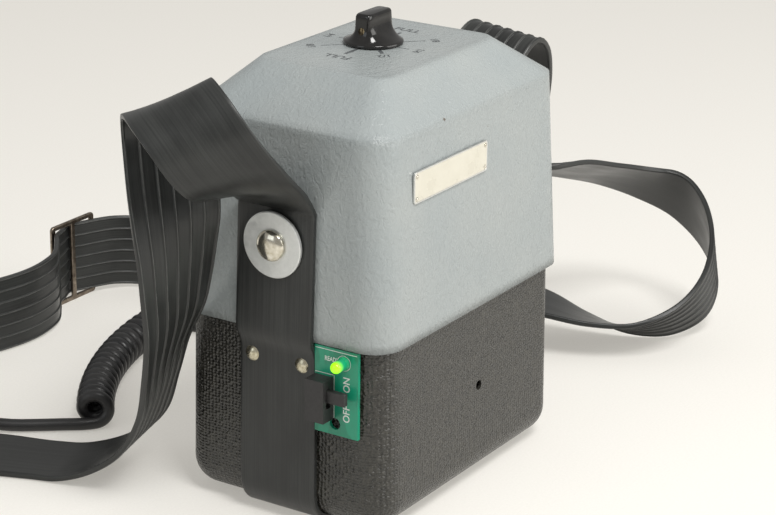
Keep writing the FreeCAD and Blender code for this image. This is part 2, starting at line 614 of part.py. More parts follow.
def buckle():
    """Flat metal slide with a middle bar, standing on its edge on the floor."""
    outer = box("buckle_plate", "buckle_length", "buckle_thick", "buckle_height", "buckle_x", "buckle_y", "0")
    span = "((buckle_length - 3 * buckle_bar) / 2)"
    windows = []
    for side in (-1, 1):
        windows.append(box(
            f"buckle_window_{side}", span, "2 * buckle_thick", "buckle_height - 1.6 * buckle_bar",
            f"buckle_x + {side} * ({span} + buckle_bar) / 2", "buckle_y", "0.8 * buckle_bar"))
    node(cut("buckle_frame", outer, *windows), "strap_buckle")


def capacitors():
    """Two flash capacitors standing on the deck in spring clamps."""
    cans = []
    tips = []
    clamps = []
    for side in (-1, 1):
        tag = "right" if side > 0 else "left"
        x = f"{side} * can_spread / 2"
        cans.append(rod("can_" + tag, "can_radius", "can_height", x, "can_side", DECK_TOP))
        for pole in (-1, 1):
            tips.append(rod(
                f"terminal_{tag}_{pole}", "can_terminal", "3 * can_terminal",
                f"{x} + {pole} * can_radius / 2", "can_side", f"{DECK_TOP} + can_height"))
        band = rod("clamp_band_" + tag, "can_radius + bore_gap + clamp_thick", "clamp_height", x,
                   "can_side", DECK_TOP)
        foot = box("clamp_foot_" + tag, "clamp_foot", "2 * (can_radius + clamp_foot)", "clamp_thick", x,
                   "can_side", DECK_TOP)
        bore = rod("clamp_bore_" + tag, "can_radius + bore_gap", "clamp_height", x, "can_side", DECK_TOP)
        clamps.append(cut("clamp_" + tag, fuse("clamp_body_" + tag, band, foot), bore))
    node(group("can_pair", *cans), "flash_capacitors")
    node(group("tip_set", *tips), "capacitor_terminals")
    node(group("clamp_pair", *clamps), "capacitor_clamps")


def transformer():
    """Iron core with two windows and a coil round its middle leg."""
    leg = "(core_length - 2 * window_wide) / 4"
    block = box("core_block", "core_length", "core_depth", "core_height", "0", "core_side", DECK_TOP)
    low = f"({DECK_TOP} + (core_height - coil_height) / 2)"
    windows = []
    for side in (-1, 1):
        windows.append(box(
            f"core_window_{side}", "window_wide", "2 * core_depth", "coil_height",
            f"{side} * ({leg} + window_wide / 2)", "core_side", low))
    node(cut("core_stack", block, *windows), "transformer_core")
    outer = box("winding_outer", f"2 * ({leg}) + 2 * window_wide - fit_gap", "coil_depth",
                "coil_height - fit_gap", "0", "core_side", f"{low} + fit_gap / 2")
    inner = box("winding_inner", f"2 * ({leg}) + fit_gap", "core_depth + fit_gap", "coil_height", "0",
                "core_side", low)
    node(cut("winding", outer, inner), "transformer_coil")


def drive_board():
    """Converter board on four stands with its parts."""
    x = "(core_length / 2 + 6 + drive_length / 2)"
    low = f"({DECK_TOP} + drive_stand)"
    node(box("drive_sheet", "drive_length", "drive_depth", "drive_thick", x, "drive_side", low), "drive_board")
    stands = []
    for end in (-1, 1):
        for side in (-1, 1):
            stands.append(rod(
                f"drive_stand_{end}_{side}", "drive_foot", "drive_stand",
                f"{x} + {end} * (drive_length / 2 - 3)", f"drive_side + {side} * (drive_depth / 2 - 3)",
                DECK_TOP))
    node(group("drive_stand_set", *stands), "drive_stands")
    top = f"({low} + drive_thick)"
    parts = [
        rod("drive_transistor_a", "4.5", "7", f"{x} - 10", "drive_side", top),
        rod("drive_transistor_b", "4.5", "7", f"{x} + 1", "drive_side", top),
        rod("drive_electrolytic", "4", "14", f"{x} + 11", "drive_side + 4", top),
        box("drive_resistor", "8", "3", "3", f"{x} + 10", "drive_side - 6", top),
    ]
    node(group("drive_part_set", *parts), "drive_components")


def battery():
    """Six cells in a tray on the case floor, held under a contact plate by two long bolts."""
    tray_length = "3 * cell_pitch + 2 * tray_thick"
    tray_depth = "2 * cell_pitch + 2 * tray_thick"
    outer = box("tray_outer", tray_length, tray_depth, "tray_lip", "0", "0", CASE_FLOOR)
    well = box("tray_well", "3 * cell_pitch", "2 * cell_pitch", "tray_lip", "0", "0",
               f"{CASE_FLOOR} + tray_thick")
    notches = [well]
    for end in (-1, 1):
        for side in (-1, 1):
            notches.append(rod(
                f"tray_notch_{end}_{side}", "post_radius + fit_gap", "2 * tray_lip",
                f"{end} * post_reach", f"{side} * post_side", "strap_thick"))
    node(cut("tray", outer, *notches), "battery_tray")
    stand = f"({CASE_FLOOR} + tray_thick)"
    cells = []
    for column in (-1, 0, 1):
        for side in (-1, 1):
            can = rod(f"cell_can_{column}_{side}", "cell_radius", "cell_height", f"{column} * cell_pitch",
                      f"{side} * cell_pitch / 2", stand)
            tip = rod(f"cell_tip_{column}_{side}", "cell_nipple", "cell_nipple / 2",
                      f"{column} * cell_pitch", f"{side} * cell_pitch / 2", f"{stand} + cell_height")
            cells.append(fuse(f"cell_{column}_{side}", can, tip))
    node(group("cell_set", *cells), "battery_cells")
    level = f"({stand} + cell_height + cell_nipple / 2)"
    slab = box("contact_slab", "3 * cell_pitch - 6", "2 * cell_pitch - 10", "2 * tray_thick", "0", "0", level)
    drills = []
    bolts = []
    for side in (-1, 1):
        x = f"{side} * cell_pitch / 2"
        drills.append(rod(f"contact_hole_{side}", "screw_radius + bore_gap", "8 * tray_thick", x, "0",
                          f"{level} - tray_thick"))
        shank = rod(f"bolt_shank_{side}", "screw_radius", f"{level} + 2 * tray_thick - {stand}", x, "0", stand)
        head = dome(f"bolt_head_{side}", "head_radius", "head_height", x, "0", f"{level} + 2 * tray_thick", "z")
        bolts.append(fuse(f"bolt_{side}", shank, head))
    node(cut("contact_drilled", slab, *drills), "battery_contact_plate")
    node(group("bolt_pair", *bolts), "battery_bolts")


def selector():
    """Rotary power selector under the roof and its bar knob on top."""
    under = "(roof_level - cover_wall)"
    base = "(roof_level + knob_lift)"
    can = rod("selector_can", "selector_radius", "selector_depth", "knob_x", "knob_y",
              f"{under} - selector_depth")
    bush = rod("selector_bush", "bush_radius", "cover_wall + bush_rise", "knob_x", "knob_y", under)
    bore = rod("selector_bore", "shaft_radius + bore_gap", "2 * selector_depth", "knob_x", "knob_y",
               f"{under} - selector_depth / 2")
    node(cut("selector_unit", fuse("selector_body", can, bush), bore), "selector_switch")
    blank = hexagon("selector_nut_blank", "bush_radius + 2.2", "bush_rise - 0.4", "knob_x", "knob_y",
                    "roof_level", "z")
    eye = rod("selector_nut_eye", "bush_radius", "bush_rise", "knob_x", "knob_y", "roof_level")
    node(cut("selector_nut_ring", blank, eye), "selector_nut")
    top = f"({base} + knob_height - 3)"
    floor = f"({under} - selector_depth / 2 + fit_gap)"
    node(rod("selector_spindle", "shaft_radius", f"{top} - {floor}", "knob_x", "knob_y", floor), "selector_shaft")

    rim = rod("knob_rim_disc", "knob_skirt", "knob_rim", "knob_x", "knob_y", base)
    slope = cone("knob_slope", "knob_skirt", "knob_skirt * 0.62", "knob_rim * 1.5", "knob_x", "knob_y",
                 f"{base} + knob_rim")
    bar = box("knob_bar_block", "2 * knob_reach", "knob_bar", "knob_height", "knob_x", "knob_y", base)
    room = rod("knob_room", "bush_radius + 3", "bush_rise + 0.6", "knob_x", "knob_y", base)
    hole = rod("knob_hole", "shaft_radius", f"{top} - {base}", "knob_x", "knob_y", base)
    tap = rod("knob_tap", "grub_radius", "2 * knob_reach", "knob_x", "knob_y", f"{base} + grub_level", "-x")
    node(cut("knob_turned", fuse("knob_mass", rim, slope, bar), room, hole, tap), "selector_knob")
    grub = rod("grub_rod", "grub_radius", "knob_reach - shaft_radius - 0.6", "knob_x - shaft_radius", "knob_y",
               f"{base} + grub_level", "-x")
    slot = box("grub_slot", "1", "0.5", "4 * grub_radius", "knob_x - knob_reach + 0.8", "knob_y",
               f"{base} + grub_level - 2 * grub_radius")
    node(cut("grub", grub, slot), "knob_set_screw")


def status_board():
    """Small board beside the strap with a ready lamp and a right-angle slide switch."""
    side = "(stud_side - strap_width / 2 - slide_gap - board_width / 2)"
    low = "(board_level - board_length / 2)"
    wall = f"(case_length / 2 - ({low} - strap_thick) * tan(case_taper))"
    back = f"({wall} + pad_thick)"
    face = f"({back} + board_thick)"
    pad = box("foam_pad", "pad_thick", "board_width - 4", "board_length - 14", f"-({wall} + pad_thick / 2)",
              side, f"{low} + 10")
    node(pad, "board_pad")
    sheet_board = box("board_sheet", "board_thick", "board_width", "board_length",
                      f"-({back} + board_thick / 2)", side, low)
    hole = rod("board_hole_tool", "board_hole", "3 * board_thick", f"-{back} + board_thick",
               f"{side} + 0.6", f"{low} + 5.0", "-x")
    node(cut("board_drilled", sheet_board, hole), "status_board")

    flange = rod("lamp_flange_disc", "lamp_flange", "1", f"-{face}", "lamp_side", "lamp_level", "-x")
    barrel = rod("lamp_barrel", "lamp_radius", "lamp_height - lamp_radius", f"-{face}", "lamp_side",
                 "lamp_level", "-x")
    tip = doc.addObject("Part::Sphere", "lamp_tip")
    bind(tip, "Radius", "lamp_radius")
    place(tip, f"-({face} + lamp_height - lamp_radius)", "lamp_side", "lamp_level")
    node(fuse("lamp", flange, barrel, tip), "ready_lamp")

    body_side = f"({side} + board_width / 2 - switch_wide / 2 - slide_gap)"
    body = box("switch_block", "switch_high", "switch_wide", "switch_long",
               f"-({face} + switch_high / 2)", body_side, "switch_level - switch_long / 2")
    slot_long = "(lever_long + lever_travel + 2 * slide_gap)"
    slot_top = "(switch_level + lever_rest + lever_long / 2 + slide_gap)"
    slot = box("switch_slot", "lever_high + 2 * slide_gap", "2 * slot_deep", slot_long,
               f"-({face} + switch_high / 2)", f"{body_side} - switch_wide / 2", f"{slot_top} - {slot_long}")
    node(cut("switch_body", body, slot), "slide_switch_body")
    lever = box("switch_lever", "lever_high", "lever_reach + slot_deep - slide_gap", "lever_long",
                f"-({face} + switch_high / 2)",
                f"{body_side} - switch_wide / 2 - lever_reach / 2 + slot_deep / 2 - slide_gap / 2",
                "switch_level + lever_rest - lever_long / 2")
    node(lever, "slide_switch_lever")


def biarc(start, start_way, end, end_way):
    """Two arcs that leave one point and reach the next along given directions."""
    gap = end - start
    both = start_way + end_way
    a = 2 * (start_way.dot(end_way) - 1)
    b = -2 * gap.dot(both)
    c = gap.dot(gap)
    reach = (-b - math.sqrt(b * b - 4 * a * c)) / (2 * a) if abs(a) > 1e-9 else -c / b
    first = start + start_way * reach
    second = end - end_way * reach
    joint = (first + second) / 2
    return [bulged(start, first, joint), bulged(joint, second, end)]


def bulged(start, corner, end):
    """Arc between two points whose end tangents meet at the corner."""
    chord = (start + end) / 2
    half = (end - start).Length / 2
    rise = (corner - chord).Length
    radius = (corner - start).Length * half / rise
    sag = radius - math.sqrt(radius * radius - half * half)
    return Part.Arc(start, chord + (corner - chord) * (sag / rise), end).toShape()


def coil_point(turns):
    """Middle of the wire and its direction after a number of turns, from the tail end."""
    pitch = size("curl_pitch")
    radius = size("curl_radius")
    angle = COIL_START - math.degrees(turns * pitch / COIL_BEND)
    outward = V(math.cos(math.radians(angle)), math.sin(math.radians(angle)), 0)
    axis = V(outward.y, -outward.x, 0)
    side = V(-outward.x, -outward.y, 0)
    phase = 2 * math.pi * turns
    level = radius + size("wire_radius") + 0.2
    middle = V(*COIL_CENTRE, level) + outward * COIL_BEND
    spot = middle + V(0, 0, -radius * math.cos(phase)) + side * (radius * math.sin(phase))
    along = 1 - radius * math.sin(phase) / COIL_BEND
    way = V(0, 0, math.sin(phase)) + side * math.cos(phase)
    way = way * (2 * math.pi * radius) + axis * (pitch * along)
    way.normalize()
    return spot, way


def tube(name, edges, radius):
    """Round cord swept along joined lines and arcs, checked against its section times its length."""
    path = Part.Wire(edges)
    start = edges[0].valueAt(edges[0].FirstParameter)
    way = edges[0].tangentAt(edges[0].FirstParameter)
    profile = Part.Wire([Part.makeCircle(radius, start, way)])
    solid = path.makePipeShell([profile], True, False)
    expected = math.pi * radius ** 2 * path.Length
    print(f"{name}: volume {solid.Volume:.0f}, section times length {expected:.0f}, length {path.Length:.0f}")
    return solid


def route_edges(name, points):
    """Straight runs joined by tangent arcs, each as large as its two runs allow."""
    points = [V(*point) for point in points]
    edges = []
    here = points[0]
    radii = []
    for before, corner, after in zip(points, points[1:], points[2:]):
        back = before - corner
        ahead = after - corner
        shorter = min(back.Length, ahead.Length)
        back.normalize()
        ahead.normalize()
        half_turn = (math.pi - back.getAngle(ahead)) / 2
        set_back = 0.45 * shorter
        radius = set_back / math.tan(half_turn)
        radii.append(radius)
        start = corner + back * set_back
        end = corner + ahead * set_back
        inside = back + ahead
        inside.normalize()
        middle = corner + inside * (radius / math.cos(half_turn) - radius)
        edges.append(Part.makeLine(here, start))
        edges.append(Part.Arc(start, middle, end).toShape())
        here = end
    edges.append(Part.makeLine(here, points[-1]))
    print(f"{name}: arc radii " + ", ".join(f"{radius:.0f}" for radius in radii))
    return edges


def cord():
    """Gland on the back, lead to the coil, the curly length, its straight tail and the plug."""
    wire = size("wire_radius")
    wall = "(case_depth / 2 - (gland_level - strap_thick) * tan(case_taper))"
    collar = rod("gland_collar", "gland_radius", "gland_length", "gland_x", wall, "gland_level", "y")
    neck = rod("gland_neck", "gland_radius - 2", "3 * case_wall", "gland_x", f"{wall} - 2.5 * case_wall",
               "gland_level", "y")
    lock = rod("gland_lock", "gland_radius", "case_wall", "gland_x", f"{wall} - 2 * case_wall - 1.8",
               "gland_level", "y")
    bore = rod("gland_bore", "wire_radius", "2 * gland_length", "gland_x", f"{wall} - 3 * case_wall",
               "gland_level", "y")
    node(cut("gland", fuse("gland_mass", collar, neck, lock), bore), "cord_gland")

    turns = int(size("curl_count"))
    knots = [coil_point(step / 2) for step in range(2 * turns + 1)]
    first, first_way = knots[0]
    last, last_way = knots[-1]
    straight = 2 * wire
    edges = [Part.makeLine(first - first_way * straight, first)]
    for (start, start_way), (end, end_way) in zip(knots, knots[1:]):
        edges += biarc(start, start_way, end, end_way)
    edges.append(Part.makeLine(last, last + last_way * straight))
    gaps = []
    samples = [coil_point(step / 24)[0] for step in range(24 * turns)]
    for k, spot in enumerate(samples):
        near = samples[k + 18:k + 31]
        gaps += [(spot - other).Length - 2 * wire for other in near]
    print(f"curly cord: least gap to itself {min(gaps):.2f}")
    node(made("coil_tube", tube("curly cord", edges, wire)), "curly_cord")

    coil_out = last + last_way * straight
    lead = [tuple(point) for point in LEAD_ROUTE] + [tuple(coil_out + last_way * 12), tuple(coil_out)]
    node(made("lead_tube", tube("lead", route_edges("lead", lead), wire)), "cord_lead")
    tail_start = first - first_way * straight
    tail = [tuple(tail_start), *TAIL_ROUTE]
    node(made("tail_tube", tube("tail", route_edges("tail", tail), wire)), "cord_tail")

    plug_way = V(math.cos(math.radians(PLUG_TURN)), math.sin(math.radians(PLUG_TURN)), 0)
    spot = V(*TAIL_ROUTE[-1])
    body = doc.addObject("Part::Cylinder", "plug_barrel")
    bind(body, "Radius", "plug_radius")
    bind(body, "Height", "plug_length")
    body.Placement = FreeCAD.Placement(spot, FreeCAD.Rotation(V(0, 0, 1), plug_way))
    node(body, "cord_plug")


COIL_CENTRE = (85.0, -27.5)
COIL_BEND = 200.0
COIL_START = 130.6

housing()
plate()
strap_fixings(chassis())
strap_sling()
free_strap()
buckle()
capacitors()
transformer()
drive_board()
battery()
selector()
status_board()
cord()
doc.recompute()

for thing in doc.Objects:
    if "Invalid" in thing.State or "Error" in thing.State:
        raise RuntimeError(f"{thing.Name} failed: {thing.State}")
os.makedirs("parts", exist_ok=True)
for thing in NODES:
    if thing.Shape.isNull() or not thing.Shape.isValid():
        raise RuntimeError(f"{thing.Label} has no valid shape")
for thing in NODES:
    thing.Shape.exportStep(f"parts/{thing.Label}.step")
print(f"{len(NODES)} nodes written")
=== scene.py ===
import json
import math

import bmesh
import bpy
from mathutils import Matrix, Vector

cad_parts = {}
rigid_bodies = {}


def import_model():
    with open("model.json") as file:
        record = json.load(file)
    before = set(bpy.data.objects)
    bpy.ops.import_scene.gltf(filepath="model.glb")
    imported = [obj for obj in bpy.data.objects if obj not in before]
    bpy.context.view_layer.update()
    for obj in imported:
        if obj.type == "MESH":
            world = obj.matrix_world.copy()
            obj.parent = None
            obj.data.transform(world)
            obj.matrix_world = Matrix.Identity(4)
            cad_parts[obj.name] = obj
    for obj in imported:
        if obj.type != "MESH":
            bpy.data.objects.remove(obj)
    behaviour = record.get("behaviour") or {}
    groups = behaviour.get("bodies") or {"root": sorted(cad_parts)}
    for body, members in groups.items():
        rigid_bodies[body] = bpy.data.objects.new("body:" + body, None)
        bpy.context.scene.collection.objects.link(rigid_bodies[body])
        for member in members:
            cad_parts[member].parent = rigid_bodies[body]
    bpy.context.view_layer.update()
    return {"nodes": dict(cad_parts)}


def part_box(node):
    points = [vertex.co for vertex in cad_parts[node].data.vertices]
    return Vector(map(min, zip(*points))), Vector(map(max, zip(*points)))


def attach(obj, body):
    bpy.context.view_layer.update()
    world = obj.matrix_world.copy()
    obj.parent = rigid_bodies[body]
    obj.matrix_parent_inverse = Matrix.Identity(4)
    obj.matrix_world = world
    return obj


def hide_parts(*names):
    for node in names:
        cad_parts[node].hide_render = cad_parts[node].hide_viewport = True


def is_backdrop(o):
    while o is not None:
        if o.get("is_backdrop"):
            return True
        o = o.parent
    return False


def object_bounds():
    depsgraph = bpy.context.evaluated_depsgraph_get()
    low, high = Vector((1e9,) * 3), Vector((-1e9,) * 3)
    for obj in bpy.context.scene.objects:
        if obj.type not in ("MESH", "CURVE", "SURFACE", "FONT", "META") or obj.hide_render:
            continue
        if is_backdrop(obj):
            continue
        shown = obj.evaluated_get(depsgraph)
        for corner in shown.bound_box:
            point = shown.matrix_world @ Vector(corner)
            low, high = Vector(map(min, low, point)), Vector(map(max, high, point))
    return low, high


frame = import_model()
stage = bpy.context.scene.collection.objects

# The viewing position, found from the straight edges of the case.
# The long lens stands about a metre away, a little above the roof.
eye = bpy.data.cameras.new("viewpoint")
eye.lens = 112.64
eye.sensor_width = 36.0
eye.shift_x = 0.0079
eye.shift_y = -0.0125
eye.clip_start = 0.05
eye.clip_end = 30.0
viewpoint = bpy.data.objects.new("viewpoint", eye)
stage.link(viewpoint)
yaw, pitch, roll = math.radians(57.32), math.radians(-19.34), math.radians(0.66)
sight = Vector((math.sin(yaw) * math.cos(pitch), math.cos(yaw) * math.cos(pitch), math.sin(pitch)))
level = Vector((math.cos(yaw), -math.sin(yaw), 0.0))
upright = level.cross(sight)
right = level * math.cos(roll) + upright * math.sin(roll)
upright = upright * math.cos(roll) - level * math.sin(roll)
turned = Matrix((right, upright, -sight)).transposed().to_4x4()
viewpoint.matrix_world = Matrix.Translation((-0.8458, -0.5458, 0.4543)) @ turned
bpy.context.scene.camera = viewpoint

# Curly lamp cord: round black rubber sheath, wound warm on a rod so that it keeps its turns.
# It leaves the back of the case, lies behind it as a coil of twenty turns, and runs straight
# to a round plug just past the left of the view.


def finish(name, colour, roughness, metallic=0.0):
    """A new material with its shader, and the object coordinates that its patterns follow."""
    mat = bpy.data.materials.new(name)
    mat.use_nodes = True
    nodes, links = mat.node_tree.nodes, mat.node_tree.links
    shader = nodes["Principled BSDF"]
    shader.inputs["Base Color"].default_value = (*colour, 1.0)
    shader.inputs["Roughness"].default_value = roughness
    shader.inputs["Metallic"].default_value = metallic
    where = nodes.new("ShaderNodeTexCoord").outputs["Object"]
    return mat, nodes, links, shader, where


def stretch(nodes, links, where, scale):
    """Coordinates drawn out along the axes, for grain that runs one way."""
    mapping = nodes.new("ShaderNodeMapping")
    mapping.inputs["Scale"].default_value = scale
    links.new(where, mapping.inputs["Vector"])
    return mapping.outputs["Vector"]


def mottle(nodes, links, where, scale, detail=3.0, distortion=0.0):
    """Soft cloudy variation."""
    cloud = nodes.new("ShaderNodeTexNoise")
    cloud.inputs["Scale"].default_value = scale
    cloud.inputs["Detail"].default_value = detail
    cloud.inputs["Distortion"].default_value = distortion
    links.new(where, cloud.inputs["Vector"])
    return cloud.outputs["Fac"]


def between(nodes, links, factor, low, high, output=None):
    """Spreads a factor between two colours or two numbers, from one part of its range to another."""
    ramp = nodes.new("ShaderNodeMapRange")
    ramp.inputs["From Min"].default_value = low[0]
    ramp.inputs["From Max"].default_value = high[0]
    links.new(factor, ramp.inputs["Value"])
    if isinstance(low[1], float):
        ramp.inputs["To Min"].default_value = low[1]
        ramp.inputs["To Max"].default_value = high[1]
        if output:
            links.new(ramp.outputs["Result"], output)
        return ramp.outputs["Result"]
    mix = nodes.new("ShaderNodeMix")
    mix.data_type = "RGBA"
    mix.inputs["A"].default_value = (*low[1], 1.0)
    mix.inputs["B"].default_value = (*high[1], 1.0)
    links.new(ramp.outputs["Result"], mix.inputs["Factor"])
    if output:
        links.new(mix.outputs["Result"], output)
    return mix.outputs["Result"]


def relief(nodes, links, shader, height, depth):
    """Raises the surface by a pattern, in metres, on top of what is already there."""
    bump = nodes.new("ShaderNodeBump")
    bump.inputs["Distance"].default_value = depth
    bump.inputs["Strength"].default_value = 1.0
    links.new(height, bump.inputs["Height"])
    if shader.inputs["Normal"].is_linked:
        links.new(shader.inputs["Normal"].links[0].from_socket, bump.inputs["Normal"])
    links.new(bump.outputs["Normal"], shader.inputs["Normal"])


wire = 0.0029
winding = 0.0062
pitch_of_turns = 0.0067
turns = 20
bend_centre = Vector((0.085, -0.0275, 0.0))
bend_radius = 0.200


def coil_point(turn):
    """Middle of the wire and its direction at a turn of the coil, counted from the plug's end."""
    angle = math.radians(130.6) - turn * pitch_of_turns / bend_radius
    outward = Vector((math.cos(angle), math.sin(angle), 0.0))
    axis = Vector((outward.y, -outward.x, 0.0))
    phase = 2 * math.pi * turn
    middle = bend_centre + outward * bend_radius + Vector((0.0, 0.0, winding + wire + 0.0002))
    spot = middle + Vector((0.0, 0.0, -winding * math.cos(phase))) - outward * (winding * math.sin(phase))
    along = 1 - winding * math.sin(phase) / bend_radius
    way = (Vector((0.0, 0.0, math.sin(phase))) - outward * math.cos(phase)) * (2 * math.pi * winding)
    way += axis * (pitch_of_turns * along)
    return spot, way.normalized()


lead = [
    (0.0500, 0.0609, 0.0240), (0.0500, 0.0690, 0.0240), (0.0510, 0.0790, 0.0220), (0.0540, 0.0910, 0.0165),
    (0.0595, 0.1040, 0.0100), (0.0665, 0.1170, 0.0052), (0.0735, 0.1295, 0.0031), (0.0795, 0.1415, 0.0031),
]
tail = [
    (-0.0540, 0.1343, 0.0031), (-0.0625, 0.1450, 0.0031), (-0.0710, 0.1560, 0.0033),
    (-0.0775, 0.1680, 0.0050), (-0.0810, 0.1790, 0.0087),
]
last_spot, last_way = coil_point(turns)
first_spot, first_way = coil_point(0)
path = [Vector(p) for p in lead]
path += [last_spot + last_way * (0.0058 + 0.012), last_spot + last_way * 0.0058]
path += [coil_point(turns - step / 14)[0] for step in range(turns * 14 + 1)]
path += [first_spot - first_way * 0.0058] + [Vector(p) for p in tail]
cord_line = bpy.data.curves.new("lamp_cord", "CURVE")
cord_line.dimensions = "3D"
spline = cord_line.splines.new("NURBS")
spline.points.add(len(path) - 1)
for point, spot in zip(spline.points, path):
    point.co = (*spot, 1.0)
spline.order_u = 3
spline.use_endpoint_u = True
cord_line.resolution_u = 3
cord_line.bevel_depth = wire
cord_line.bevel_resolution = 4
cord_line.use_fill_caps = True
lamp_cord = bpy.data.objects.new("lamp_cord", cord_line)
stage.link(lamp_cord)

cord_rubber, nodes, links, shader, where = finish("cord_rubber", (0.020, 0.020, 0.021), 0.36)
shader.inputs["Specular IOR Level"].default_value = 0.55
dust = mottle(nodes, links, where, 60.0, 5.0)
between(nodes, links, dust, (0.35, (0.014, 0.014, 0.015)), (0.75, (0.034, 0.033, 0.032)),
        shader.inputs["Base Color"])
between(nodes, links, dust, (0.3, 0.28), (0.8, 0.5), shader.inputs["Roughness"])
relief(nodes, links, shader, mottle(nodes, links, where, 1400.0, 2.0), 0.00003)
cord_line.materials.append(cord_rubber)

# Round plug of the cord: moulded black barrel with grip rings and a shouldered collar.
# It lies on the floor at the end of the straight tail.


def lathe(name, rings, start, way, sides=64):
    """A closed turned body: (distance along, radius) rings from a start point, along a direction."""
    mesh = bpy.data.meshes.new(name)
    body = bmesh.new()
    way = Vector(way).normalized()
    side = way.orthogonal().normalized()
    other = way.cross(side)
    loops = []
    for along, radius in rings:
        loop = []
        for k in range(sides):
            turn = 2 * math.pi * k / sides
            spot = Vector(start) + way * along + (side * math.cos(turn) + other * math.sin(turn)) * radius
            loop.append(body.verts.new(spot))
        loops.append(loop)
    for low, high in zip(loops, loops[1:]):
        for k in range(sides):
            body.faces.new((low[k], low[(k + 1) % sides], high[(k + 1) % sides], high[k]))
    body.faces.new(reversed(loops[0]))
    body.faces.new(loops[-1])
    bmesh.ops.recalc_face_normals(body, faces=body.faces)
    body.to_mesh(mesh)
    body.free()
    return placed(name, mesh)


def placed(name, mesh, smooth=True, angle=35.0):
    """Puts a finished mesh in the scene, with its edges sharp past an angle."""
    thing = bpy.data.objects.new(name, mesh)
    stage.link(thing)
    if smooth:
        mesh.shade_smooth()
        mesh.set_sharp_from_angle(angle=math.radians(angle))
    return thing


plug_turn = math.radians(106.0)
plug_way = (math.cos(plug_turn), math.sin(plug_turn), 0.0)
plug_rings = [(0.0, 0.0042), (0.0006, 0.0048), (0.006, 0.0060), (0.0075, 0.0078), (0.0090, 0.0084)]
for ring in range(6):
    at = 0.0115 + ring * 0.0030
    plug_rings += [(at, 0.0084), (at + 0.0004, 0.0077), (at + 0.0012, 0.0077), (at + 0.0016, 0.0084)]
plug_rings += [(0.0330, 0.0084), (0.0336, 0.0078), (0.0394, 0.0077), (0.0400, 0.0071), (0.0400, 0.0058),
               (0.0372, 0.0057)]
cord_plug = lathe("round_plug", plug_rings, tail[-1], plug_way)
plug_plastic, nodes, links, shader, where = finish("plug_plastic", (0.018, 0.018, 0.019), 0.42)
between(nodes, links, mottle(nodes, links, where, 90.0), (0.3, 0.34), (0.8, 0.55), shader.inputs["Roughness"])
relief(nodes, links, shader, mottle(nodes, links, where, 2500.0, 2.0), 0.00002)
cord_plug.data.materials.append(plug_plastic)
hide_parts("cord_plug")
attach(cord_plug, "pack")

# Rubber gland where the cord leaves the back: a flanged bush with a tapered, ribbed sleeve,
# moulded in one piece and pushed into a hole of the case. It isn't seen in the photograph.
gland_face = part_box("cord_gland")[1].y - 0.0090
gland_rings = [(0.0, 0.0065), (0.0022, 0.0065), (0.0027, 0.0060)]
for ring in range(4):
    at = 0.0030 + ring * 0.0014
    gland_rings += [(at, 0.0056 - ring * 0.0004), (at + 0.0006, 0.0050 - ring * 0.0004),
                    (at + 0.0009, 0.0050 - ring * 0.0004), (at + 0.0013, 0.0055 - ring * 0.0004)]
gland_rings += [(0.0090, 0.0038), (0.0090, 0.0030)]
cord_gland = lathe("gland_sleeve", gland_rings, (lead[0][0], gland_face, lead[0][2]), (0, 1, 0), 48)
gland_rubber, nodes, links, shader, where = finish("gland_rubber", (0.022, 0.022, 0.022), 0.55)
between(nodes, links, mottle(nodes, links, where, 120.0), (0.3, 0.45), (0.8, 0.65),
        shader.inputs["Roughness"])
relief(nodes, links, shader, mottle(nodes, links, where, 2200.0), 0.00002)
cord_gland.data.materials.append(gland_rubber)
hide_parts("cord_gland")
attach(cord_gland, "pack")

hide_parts("cord_lead", "curly_cord", "cord_tail")
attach(lamp_cord, "pack")

